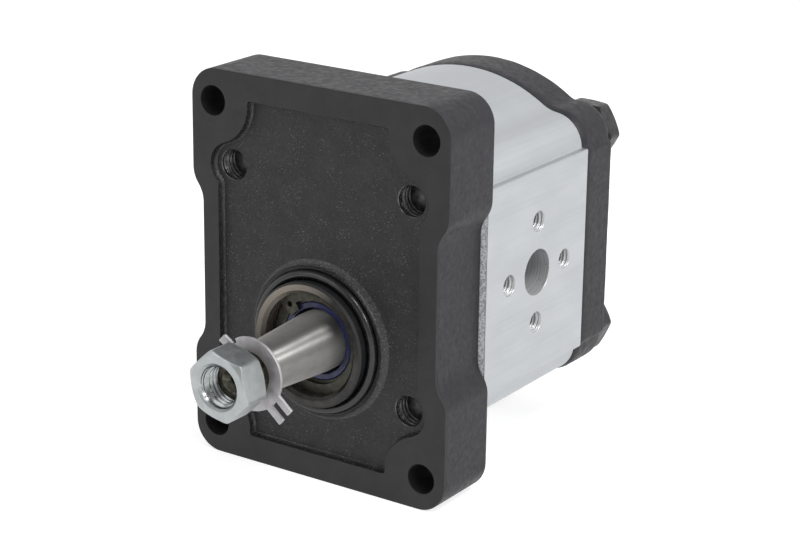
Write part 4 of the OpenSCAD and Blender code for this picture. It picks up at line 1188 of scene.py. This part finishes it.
def build_cover(context):
    """The cast rear cover, with a rounded rear edge and four bolt holes. Its front edge slopes in
    to the body's outline: by the difference of the ears' radii at an ear, and away from it by the
    difference of the arcs' radii."""
    sizes = read(context, "pump_body")
    low, high = box("rear_cover")
    y0, y1 = low[1], high[1]
    mid_z = (low[2] + high[2]) / 2
    shell = Shell(painted_shade_skin_iron, machined_iron)
    outline = lobed_outline((high[2] - low[2]) / 2, sizes.cover_ear_r, sizes.cover_hollow_r,
                            sizes.bolt_half, high[0], sizes.bolt_half, sizes.cover_notch,
                            0.7) + [0.0, mid_z]
    body_low, body_high = box("pump_body")
    bolts = corner_places(sizes.bolt_half, sizes.bolt_half, mid_z)
    least, run_over, slope = 0.1, 2.0, 1.8
    off_ear = np.min([np.hypot(*(outline - place).T) for place in bolts], 0) - sizes.cover_ear_r
    rise = max((high[2] - low[2] - body_high[2] + body_low[2]) / 2, least)
    ear_share = np.clip(1 - off_ear / run_over, 0, 1)[:, None]
    rise += (sizes.cover_ear_r - sizes.ear_r - rise) * ear_share
    edge = sizes.cover_edge
    edge_wall(shell, outline, [(rise, y0), (rise * 0.45, y0 + slope * 0.4), (0.0, y0 + slope)])
    edge_wall(shell, outline, [(0.0, y) for y in np.linspace(y0 + slope, y1 - edge, 12)])
    edge_wall(shell, outline, rounded(edge, y1, 8))
    holes = [ring(place, sizes.bolt_hole_r) for place in bolts]
    flat_face(shell, y0, [inset(outline, rise), *holes])
    rear_loops = [inset(outline, edge), *holes]
    spread = spread_points(low[[0, 2]], high[[0, 2]], 1.8, rear_loops)
    flat_face(shell, y1, rear_loops, loose=spread)
    for place in bolts:
        turned(shell, [(sizes.bolt_hole_r, y0), (sizes.bolt_hole_r, y1)], machined_iron, "y", place)
    make_piece(shell, context, "cover", "housing", ["rear_cover"], CAST_HEIGHT)


def build_bolts(context):
    """Four through bolts: chamfered hexagon heads at the rear and domed tips in front. Each tip has
    the thread's core radius, and widens to the shank inside the flange."""
    sizes = read(context, "pump_fasteners")
    half = read(context, "pump_body").bolt_half
    low, high = box("through_bolts")
    mid_z = (low[2] + high[2]) / 2
    head_y = box("spring_washers")[1][1]
    tip = low[1] - sizes.tip_lead
    shank_r, core_r, step_y, cone, sunk = sizes.bolt_r, 4.2, 11.5, 0.8, 1.0
    face_r = sizes.head_flats * 0.485
    dome = [(0.0, 0.0), (1.6, 0.05), (2.7, 0.25), (3.5, 0.6), (core_r, 1.2)]
    profile = [*[(radius, tip + depth) for radius, depth in dome], (core_r, step_y),
               (shank_r, step_y + cone), (shank_r, head_y + sunk), (0.0, head_y + sunk)]
    shell = Shell(black_steel, tip_steel)
    for x, z in corner_places(half, half, mid_z):
        corner = sizes.head_corner * np.sign(x) * np.sign(z - mid_z)
        hexagon(shell, sizes.head_flats, corner, head_y, high[1], face_r, 0.0, 72, (x, z))
        turned(shell, profile, tip_steel, "y", (x, z))
    make_piece(shell, context, "bolts", "housing", ["through_bolts"])


def build_spring_washers(context):
    """Split spring washers with an open slit. The section that is swept round has both its half
    widths stretched by one over the eighth root of cos^8 + sin^8: a square with round corners."""
    sizes = read(context, "pump_fasteners")
    half = read(context, "pump_body").bolt_half
    low, high = box("spring_washers")
    mid_z = (low[2] + high[2]) / 2
    mid_r = (sizes.spring_r + sizes.spring_hole_r) / 2
    half_r, half_t = (sizes.spring_r - sizes.spring_hole_r) / 2, (high[1] - low[1]) / 2
    steps, power = 32, 8
    turn = circle(steps, np.pi / steps)[None, :]
    shape = (np.abs(np.cos(turn)) ** power + np.abs(np.sin(turn)) ** power) ** (-1 / power)
    radius = mid_r + half_r * shape * np.cos(turn)
    depth = (low[1] + high[1]) / 2 + half_t * shape * np.sin(turn)
    shell = Shell(black_steel)
    for x, z in corner_places(half, half, mid_z):
        up = np.sign(z - mid_z) * np.pi / 2
        opening = sizes.spring_slit / 2 / mid_r
        around = np.linspace(up + opening, up + TAU - opening, 64)[:, None]
        rows = rings(radius, depth, around, "y", (x, z))
        shell.grid(rows, wrap=True)
        for end in (rows[0], rows[-1]):
            shell.add(end, np.arange(steps)[None, :])
    make_piece(shell, context, "spring_washer_set", "housing", ["spring_washers"])


def build_seals(context):
    """The ring seal round the pilot, whose section is a circle, and the shaft seal's case and
    rubber lip, each a profile of (radius, depth)."""
    sizes = read(context, "pump_shaft")
    steps = 160
    shell = Shell(ring_rubber)
    section = arc((sizes.ring_seal_r, sizes.ring_seal_y), sizes.ring_seal_t / 2, 0.0, TAU, 25)
    turned(shell, section, steps=steps)
    make_piece(shell, context, "ring_seal", "housing", ["pilot_oring"])

    front, sleeve_r, case_t = sizes.seal_y, sizes.sleeve_r, sizes.seal_case_t
    outer_r, rear = box("shaft_seal_case")[1][:2]
    inner_y, bend, lead = front + case_t, 0.5, 0.15
    shell = Shell(spring_steel)
    turned(shell, [(sleeve_r, front + lead), (sleeve_r + lead, front), (outer_r - bend, front),
                   (outer_r, front + bend), (outer_r, rear), (outer_r - case_t, rear),
                   (outer_r - case_t, inner_y), (sleeve_r, inner_y), (sleeve_r, front + lead)],
           steps=steps)
    make_piece(shell, context, "seal_case", "housing", ["shaft_seal_case"])

    spring_t, play, shoulder = 1.3, 0.05, 0.3
    seat_r = box("seal_garter_spring")[1][0] - spring_t - play
    lip_r, back = sizes.taper_r + play, box("shaft_seal_lip")[1][1]
    face_r = lip_r + 0.9
    shell = Shell(seal_rubber)
    turned(shell, [(face_r, front + 0.05), (lip_r + 1.3, front), (sleeve_r - shoulder, front),
                   (sleeve_r, front + shoulder), (sleeve_r, inner_y + 0.6),
                   (seat_r, inner_y + 1.4), (seat_r, back), (face_r, back), (lip_r, back - 1.3),
                   (lip_r + 0.55, front + 2.4), (lip_r + 0.5, front + 1.0),
                   (face_r, front + 0.05)], steps=steps)
    make_piece(shell, context, "seal_lip", "housing", ["shaft_seal_lip"])


def unwound(radius, base_r):
    """Angle that an involute has unwound by at a radius: the tangent less the angle itself."""
    pressure = np.arccos(np.minimum(1, base_r / radius))
    return np.tan(pressure) - pressure


def gear_outline(sizes, first):
    """Outline of a gear with involute flanks. Each tooth's half angle is a quarter of the tooth
    pitch at the pitch circle, less the backlash, and changes by what the involute unwinds."""
    teeth, pressure = 12, np.radians(25)
    pitch_r = sizes.gear_pitch_r
    base_r = pitch_r * np.cos(pressure)
    radius = np.linspace(base_r, sizes.gear_tip_r, 9)
    half = (np.pi / 2 / teeth - sizes.gear_backlash / 4 / pitch_r
            + unwound(pitch_r, base_r) - unwound(radius, base_r))
    radius = np.concatenate([[sizes.gear_root_r], radius, radius[::-1], [sizes.gear_root_r]])
    turn = np.concatenate([-half[:1], -half, half[::-1], half[:1]])
    middle = first + circle(teeth)[:, None]
    x = radius * np.cos(middle + turn)
    z = radius * np.sin(middle + turn)
    return softened(np.stack([x.ravel(), z.ravel()], -1), 0.18, 0.25)


def add_gear(shell, sizes, first, centre_z):
    """A gear between its two journals, with a small break on both ends of the teeth."""
    outline = gear_outline(sizes, first) + [0.0, centre_z]
    y0, y1, edge = sizes.gear_front_y, sizes.gear_rear_y, 0.2
    edge_wall(shell, outline, [(edge, y0), (0.0, y0 + edge), (0.0, y1 - edge), (edge, y1)])
    journal = ring((0.0, centre_z), sizes.journal_r, 96)
    for depth in (y0, y1):
        flat_face(shell, depth, [inset(outline, edge), journal])


def build_shafts(context):
    """The drive shaft, with its taper, thread, centre hole and gear, and the driven gear shaft."""
    sizes = read(context, "pump_shaft")
    end, hole_r, root_r, journal_r = (sizes.end_y, sizes.centre_r, sizes.thread_root_r,
                                      sizes.journal_r)
    steps, edge, drill_point = 96, 0.5, 0.9
    chamfer, relief = 1.0, 1.7
    hole_end, thread_start = end + sizes.centre_depth, end + 0.35
    thread_end = sizes.taper_y - relief
    taper_foot = (sizes.taper_small_r - edge, sizes.taper_y)
    shell = Shell(ground_steel, oiled_steel)
    turned(shell, [(0.0, hole_end + drill_point), (hole_r, hole_end), (hole_r, end + hole_r),
                   (hole_r * 2, end), (sizes.thread_r - chamfer, end), (root_r, thread_start)],
           oiled_steel, steps=steps)
    thread(shell, root_r, sizes.thread_r, thread_end, thread_start, sizes.pitch, oiled_steel,
           steps=steps)
    turned(shell, [(root_r, thread_end), (root_r, sizes.taper_y), taper_foot], oiled_steel,
           steps=steps)
    share = np.linspace(0, 1, 9)
    taper = zip(sizes.taper_small_r + (sizes.taper_r - sizes.taper_small_r) * share,
                sizes.taper_y + edge + (sizes.taper_end - sizes.taper_y - edge) * share)
    turned(shell, [taper_foot, *taper, (sizes.taper_r, sizes.front_y),
                   (journal_r, sizes.front_y + 0.3), (journal_r, sizes.gear_front_y)], steps=steps)
    journal_end = [(journal_r, sizes.gear_rear_y), (journal_r, sizes.rear_y - edge),
                   (journal_r - edge, sizes.rear_y), (0.0, sizes.rear_y)]
    turned(shell, journal_end, steps=steps)
    add_gear(shell, sizes, np.pi / 2, 0.0)
    make_piece(shell, context, "drive_shaft_and_gear", "drive_shaft",
               ["drive_gear_shaft"])

    centre_z = read(context, "pump_body").centres
    shell = Shell(ground_steel)
    front = [(0.0, sizes.front_y), (journal_r - edge, sizes.front_y),
             (journal_r, sizes.front_y + edge), (journal_r, sizes.gear_front_y)]
    for profile in (front, journal_end):
        turned(shell, profile, centre=(0.0, centre_z), steps=steps)
    half_pitch = np.radians(15)
    add_gear(shell, sizes, half_pitch - np.pi / 2, centre_z)
    make_piece(shell, context, "driven_shaft_and_gear", "driven_gear",
               ["driven_gear_shaft"])


def build_nut(context):
    """The zinc plated nut, with both ends chamfered and a helical thread inside."""
    sizes = read(context, "pump_fasteners")
    pitch = read(context, "pump_shaft").pitch
    low, high = box("shaft_nut")
    y0, y1, steps, first = low[1], high[1], 96, sizes.nut_corner
    root_r, mouth, thread_height = sizes.nut_bore_r, sizes.nut_mouth, 0.62 * pitch
    shell = Shell(bright_zinc, threaded_zinc)
    hexagon(shell, sizes.nut_flats, first, y0, y1, sizes.nut_face_r, root_r + mouth, steps)
    for face, inner in ((y0, y0 + mouth), (y1, y1 - mouth)):
        turned(shell, [(root_r + mouth, face), (root_r, inner)], steps=steps, first=first)
    thread(shell, root_r, root_r - thread_height, y1 - mouth, y0 + mouth, pitch, threaded_zinc,
           steps=steps, first=first)
    make_piece(shell, context, "nut", "drive_shaft", ["shaft_nut"])


def finger(direction, low_side, high_side, reach, disc_r):
    """Points round a straight finger that leaves a disc: out along its lower side, back along its
    upper one."""
    foot = np.sqrt(disc_r ** 2 - np.array([low_side, high_side]) ** 2)
    flat = np.array([[foot[0], low_side], [reach, low_side], [reach, high_side],
                     [foot[1], high_side]])
    return swung(flat, direction)


def swung(flat, direction):
    """Turns points that are laid out along X into a direction."""
    cosine, sine = np.cos(direction), np.sin(direction)
    return flat @ np.array([[cosine, sine], [-sine, cosine]])


def washer_outline(sizes):
    """Outline of the tab washer: a disc with two prongs, a notch and a single tab."""
    disc_r, inner, lean = sizes.washer_r, sizes.prong_gap / 2, 0.2
    outer = inner + sizes.prong_w
    prongs, tab = sizes.prong_turn, sizes.tab_turn
    half_tab = sizes.tab_w / 2
    notch = half_tab + sizes.notch_w
    notch_foot = np.sqrt(disc_r ** 2 - notch ** 2)
    notched = swung(np.array([[notch_foot, -notch], [sizes.notch_r, -notch + lean],
                              [sizes.notch_r, -half_tab]]), tab)
    tab_points = finger(tab, -half_tab, half_tab, sizes.tab_reach, disc_r)[1:]
    outer_turn, inner_turn = np.arcsin(outer / disc_r), np.arcsin(inner / disc_r)
    return np.concatenate([
        finger(prongs, -outer, -inner, sizes.prong_reach, disc_r),
        arc((0, 0), disc_r, prongs - inner_turn, prongs + inner_turn, 8),
        finger(prongs, inner, outer, sizes.prong_reach, disc_r),
        arc((0, 0), disc_r, prongs + outer_turn, tab - np.arcsin(notch / disc_r), 90),
        notched, tab_points,
        arc((0, 0), disc_r, tab + np.arcsin(half_tab / disc_r), TAU + prongs - outer_turn, 120),
    ])


def build_tab_washer(context):
    """The loose tab washer: stamped sheet with rolled edges, its single tab bent forward. A point
    of the tab moves forward by its distance past the bend times the tangent of the bend."""
    sizes = read(context, "pump_fasteners")
    low, high = box("tab_washer")
    thickness, edge, bend_r, tab_half, steps = 1.0, 0.14, 9.3, sizes.tab_w * 0.56, 96
    y1 = read(context, "pump_shaft").taper_y
    y0 = y1 - thickness
    outline = softened(washer_outline(sizes), 0.16, 0.22)
    hole = ring((0.0, 0.0), sizes.washer_hole_r, steps)
    shell = Shell(dull_zinc)
    edge_wall(shell, outline, [*broken(edge, y0, 1), (0.0, y1 - edge), (edge, y1)])
    for depth in (y0, y1):
        flat_face(shell, depth, [inset(outline, edge), hole])
    turned(shell, [(sizes.washer_hole_r, y0), (sizes.washer_hole_r, y1)], steps=steps)
    points = np.concatenate(shell.points)
    reach, aside = swung(points[:, [0, 2]], -sizes.tab_turn).T
    in_tab = (reach > bend_r) & (np.abs(aside) < tab_half)
    points[:, 1] -= in_tab * (reach - bend_r) * np.tan(sizes.tab_bend)
    points += [low[0] + sizes.washer_r, 0.0, high[2] - sizes.washer_r]
    shell.points = [points]
    make_piece(shell, context, "loose_tab_washer", "drive_shaft", ["tab_washer"])


NODE_FINISHES = {
    black_steel: ("front_dowels", "rear_dowels"),
    ground_steel: ("seal_garter_spring", "shaft_key"),
    spring_steel: ("seal_retaining_ring",),
    ring_rubber: ("front_body_seal", "rear_body_seal", "front_balance_seal", "rear_balance_seal"),
    cut_aluminium: ("front_bearing_block", "rear_bearing_block"),
    bearing_bronze: ("front_drive_bush", "front_driven_bush", "rear_drive_bush",
                     "rear_driven_bush"),
    white_plastic: ("front_backup_ring", "rear_backup_ring"),
}


def dress_nodes(context):
    """Gives the frame's own remaining pieces their finishes."""
    for maker, names in NODE_FINISHES.items():
        material = finish_of(maker, context)
        for name in names:
            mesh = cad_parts[name].data
            mesh.materials.clear()
            mesh.materials.append(material)


def camera_axes(settings):
    """Right, up and backward directions of the camera, from its azimuth, elevation and roll."""
    azimuth, elevation, roll = settings.azimuth, settings.elevation, settings.roll
    back = Vector((np.sin(azimuth) * np.cos(elevation), -np.cos(azimuth) * np.cos(elevation),
                   np.sin(elevation)))
    level = Vector((0, 0, 1)).cross(back).normalized()
    upright = back.cross(level)
    right = level * np.cos(roll) + upright * np.sin(roll)
    up = upright * np.cos(roll) - level * np.sin(roll)
    return right, up, back


def add_camera(settings):
    """The camera, which looks at the pump from its right and from above."""
    right, up, back = camera_axes(settings)
    data = bpy.data.cameras.new("camera")
    data.lens = settings.focal
    data.sensor_width = 36.0
    data.sensor_fit = "HORIZONTAL"
    data.clip_start, data.clip_end = 0.02, 20.0
    camera = bpy.data.objects.new("camera", data)
    place = (right * settings.aim_right + up * settings.aim_up + back * settings.distance) * MM
    turn = Matrix((right, up, back)).transposed().to_4x4()
    camera.matrix_world = Matrix.Translation(place) @ turn
    bpy.context.scene.collection.objects.link(camera)
    bpy.context.scene.camera = camera


def add_lamp(name, place, size, brightness, aim):
    """A soft rectangular lamp: its power is pi times its area times its brightness."""
    data = bpy.data.lights.new(name, "AREA")
    data.shape = "RECTANGLE"
    data.size, data.size_y = size
    data.energy = np.pi * size[0] * size[1] * brightness
    lamp = bpy.data.objects.new(name, data)
    toward = (Vector(aim) - Vector(place)).to_track_quat("-Z", "Y")
    lamp.matrix_world = Matrix.Translation(place) @ toward.to_matrix().to_4x4()
    lamp.visible_camera = False
    bpy.context.scene.collection.objects.link(lamp)


def add_world(settings):
    """Even light from all sides. The camera sees white all round. Gloss sees white too, but for a
    dim ceiling above the front, where a direction lies far along the ceiling's own."""
    world = bpy.data.worlds.new("studio")
    bpy.context.scene.world = world
    world.use_nodes = True
    nodes = Nodes(world.node_tree)
    way = nodes.node("ShaderNodeTexCoord").outputs["Generated"]
    ceiling = nodes.levels(nodes.along(way, (0.0, -0.6, 0.8)), 0.3, 0.8, settings.backdrop,
                           settings.ceiling)
    path = nodes.node("ShaderNodeLightPath").outputs
    mirrored = nodes.math("MAXIMUM", path["Is Glossy Ray"], path["Is Transmission Ray"])
    strength = settings.ambient
    for share, level in ((mirrored, ceiling), (path["Is Camera Ray"], 1.0)):
        strength = nodes.node("ShaderNodeMix", {0: share, 2: strength, 3: level}).outputs[0]
    nodes.feed(nodes.tree.nodes["Background"],
               {"Color": (1.0, 1.0, 1.0, 1.0), "Strength": strength})


def add_floor(settings):
    """A plain pale floor under the pump. Towards the camera and in gloss it glows, so that it stays
    white where nothing shades it."""
    half, level = 3.0, frame_low[2]
    corners = [(-half, -half, level), (half, -half, level), (half, half, level),
               (-half, half, level)]
    mesh = bpy.data.meshes.new("floor")
    mesh.from_pydata(corners, [], [(0, 1, 2, 3)])
    floor = bpy.data.objects.new("floor", mesh)
    bpy.context.scene.collection.objects.link(floor)
    material = bpy.data.materials.new("floor")
    material.use_nodes = True
    nodes = Nodes(material.node_tree)
    nodes.tree.nodes.clear()
    path = nodes.node("ShaderNodeLightPath").outputs
    seen = nodes.math("MAXIMUM", path["Is Camera Ray"], path["Is Glossy Ray"])
    seen = nodes.math("MAXIMUM", seen, path["Is Transmission Ray"])
    glow = nodes.node("ShaderNodeEmission",
                      {"Strength": nodes.math("MULTIPLY", seen, settings.floor_glow)})
    grey = nodes.node("ShaderNodeBsdfDiffuse", {"Color": (0.6, 0.6, 0.6, 1.0)})
    both = nodes.node("ShaderNodeAddShader", {0: glow.outputs[0], 1: grey.outputs[0]})
    nodes.node("ShaderNodeOutputMaterial", {"Surface": both.outputs[0]})
    mesh.materials.append(material)


def build_stage(context):
    """Camera, lamps, surroundings and floor."""
    settings = read(context, "pump_stage")
    add_camera(settings)
    add_world(settings)
    strip, beside, middle = (0.7, 0.10), (0.0, -0.03, 0.015), (0.0, 0.03, 0.015)
    add_lamp("side_strip", (0.73, -0.03, 0.48), strip, settings.key, beside)
    add_lamp("top_strip", (0.49, -0.03, 0.73), strip, settings.key, beside)
    add_lamp("front_fill", (-0.55, -0.95, 0.75), (0.9, 0.9), settings.fill, middle)
    add_floor(settings)
    bpy.context.scene.view_settings.view_transform = "Standard"


class PieceOperator:
    """What the operators share: each runs its builder and reports success."""

    bl_options = {"REGISTER"}

    def execute(self, context):
        """Builds the piece."""
        type(self).build(context)
        return {"FINISHED"}


class PUMP_OT_stage(PieceOperator, bpy.types.Operator):
    """Add the camera, the lamps and the floor"""

    bl_idname = "pump.stage"
    bl_label = "Stage"
    build = staticmethod(build_stage)


class PUMP_OT_flange(PieceOperator, bpy.types.Operator):
    """Add the mounting flange"""

    bl_idname = "pump.flange"
    bl_label = "Flange"
    build = staticmethod(build_flange)


class PUMP_OT_body(PieceOperator, bpy.types.Operator):
    """Add the extruded body with its ports"""

    bl_idname = "pump.body"
    bl_label = "Body"
    build = staticmethod(build_body)


class PUMP_OT_cover(PieceOperator, bpy.types.Operator):
    """Add the rear cover"""

    bl_idname = "pump.cover"
    bl_label = "Cover"
    build = staticmethod(build_cover)


class PUMP_OT_bolts(PieceOperator, bpy.types.Operator):
    """Add the through bolts"""

    bl_idname = "pump.bolts"
    bl_label = "Bolts"
    build = staticmethod(build_bolts)


class PUMP_OT_spring_washers(PieceOperator, bpy.types.Operator):
    """Add the spring washers"""

    bl_idname = "pump.spring_washers"
    bl_label = "Spring washers"
    build = staticmethod(build_spring_washers)


class PUMP_OT_seals(PieceOperator, bpy.types.Operator):
    """Add the ring seal and the shaft seal"""

    bl_idname = "pump.seals"
    bl_label = "Seals"
    build = staticmethod(build_seals)


class PUMP_OT_shafts(PieceOperator, bpy.types.Operator):
    """Add the two gear shafts"""

    bl_idname = "pump.shafts"
    bl_label = "Shafts"
    build = staticmethod(build_shafts)


class PUMP_OT_nut(PieceOperator, bpy.types.Operator):
    """Add the shaft nut"""

    bl_idname = "pump.nut"
    bl_label = "Nut"
    build = staticmethod(build_nut)


class PUMP_OT_tab_washer(PieceOperator, bpy.types.Operator):
    """Add the tab washer"""

    bl_idname = "pump.tab_washer"
    bl_label = "Tab washer"
    build = staticmethod(build_tab_washer)


class PUMP_OT_inner_pieces(PieceOperator, bpy.types.Operator):
    """Give the remaining frame pieces their finishes"""

    bl_idname = "pump.inner_pieces"
    bl_label = "Inner pieces"
    build = staticmethod(dress_nodes)


OPERATORS = (PUMP_OT_stage, PUMP_OT_flange, PUMP_OT_body, PUMP_OT_cover, PUMP_OT_bolts,
             PUMP_OT_spring_washers, PUMP_OT_seals, PUMP_OT_shafts, PUMP_OT_nut,
             PUMP_OT_tab_washer, PUMP_OT_inner_pieces)


class PUMP_PT_panel(bpy.types.Panel):
    """Lists the pump's pieces and sizes in the sidebar"""

    bl_idname = "PUMP_PT_panel"
    bl_label = "Gear pump"
    bl_space_type = "VIEW_3D"
    bl_region_type = "UI"
    bl_category = "Gear pump"

    def draw(self, context):
        """Draws the buttons, then every property."""
        for operator in OPERATORS:
            self.layout.operator(operator.bl_idname)
        for name, group in GROUPS.items():
            column = self.layout.box().column()
            for key in group.__annotations__:
                column.prop(getattr(context.scene, name), key)


def register():
    """Registers the classes and adds the property groups to the scene."""
    for group in GROUPS.values():
        bpy.utils.register_class(group)
    for name, group in GROUPS.items():
        setattr(bpy.types.Scene, name, bpy.props.PointerProperty(type=group))
    for operator in OPERATORS:
        bpy.utils.register_class(operator)
    bpy.utils.register_class(PUMP_PT_panel)


def unregister():
    """Removes what register added."""
    bpy.utils.unregister_class(PUMP_PT_panel)
    for operator in reversed(OPERATORS):
        bpy.utils.unregister_class(operator)
    for name, group in GROUPS.items():
        delattr(bpy.types.Scene, name)
        bpy.utils.unregister_class(group)


def main():
    """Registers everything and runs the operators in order."""
    register()
    for operator in OPERATORS:
        area, name = operator.bl_idname.split(".")
        getattr(getattr(bpy.ops, area), name)()


if __name__ == "__main__":
    main()
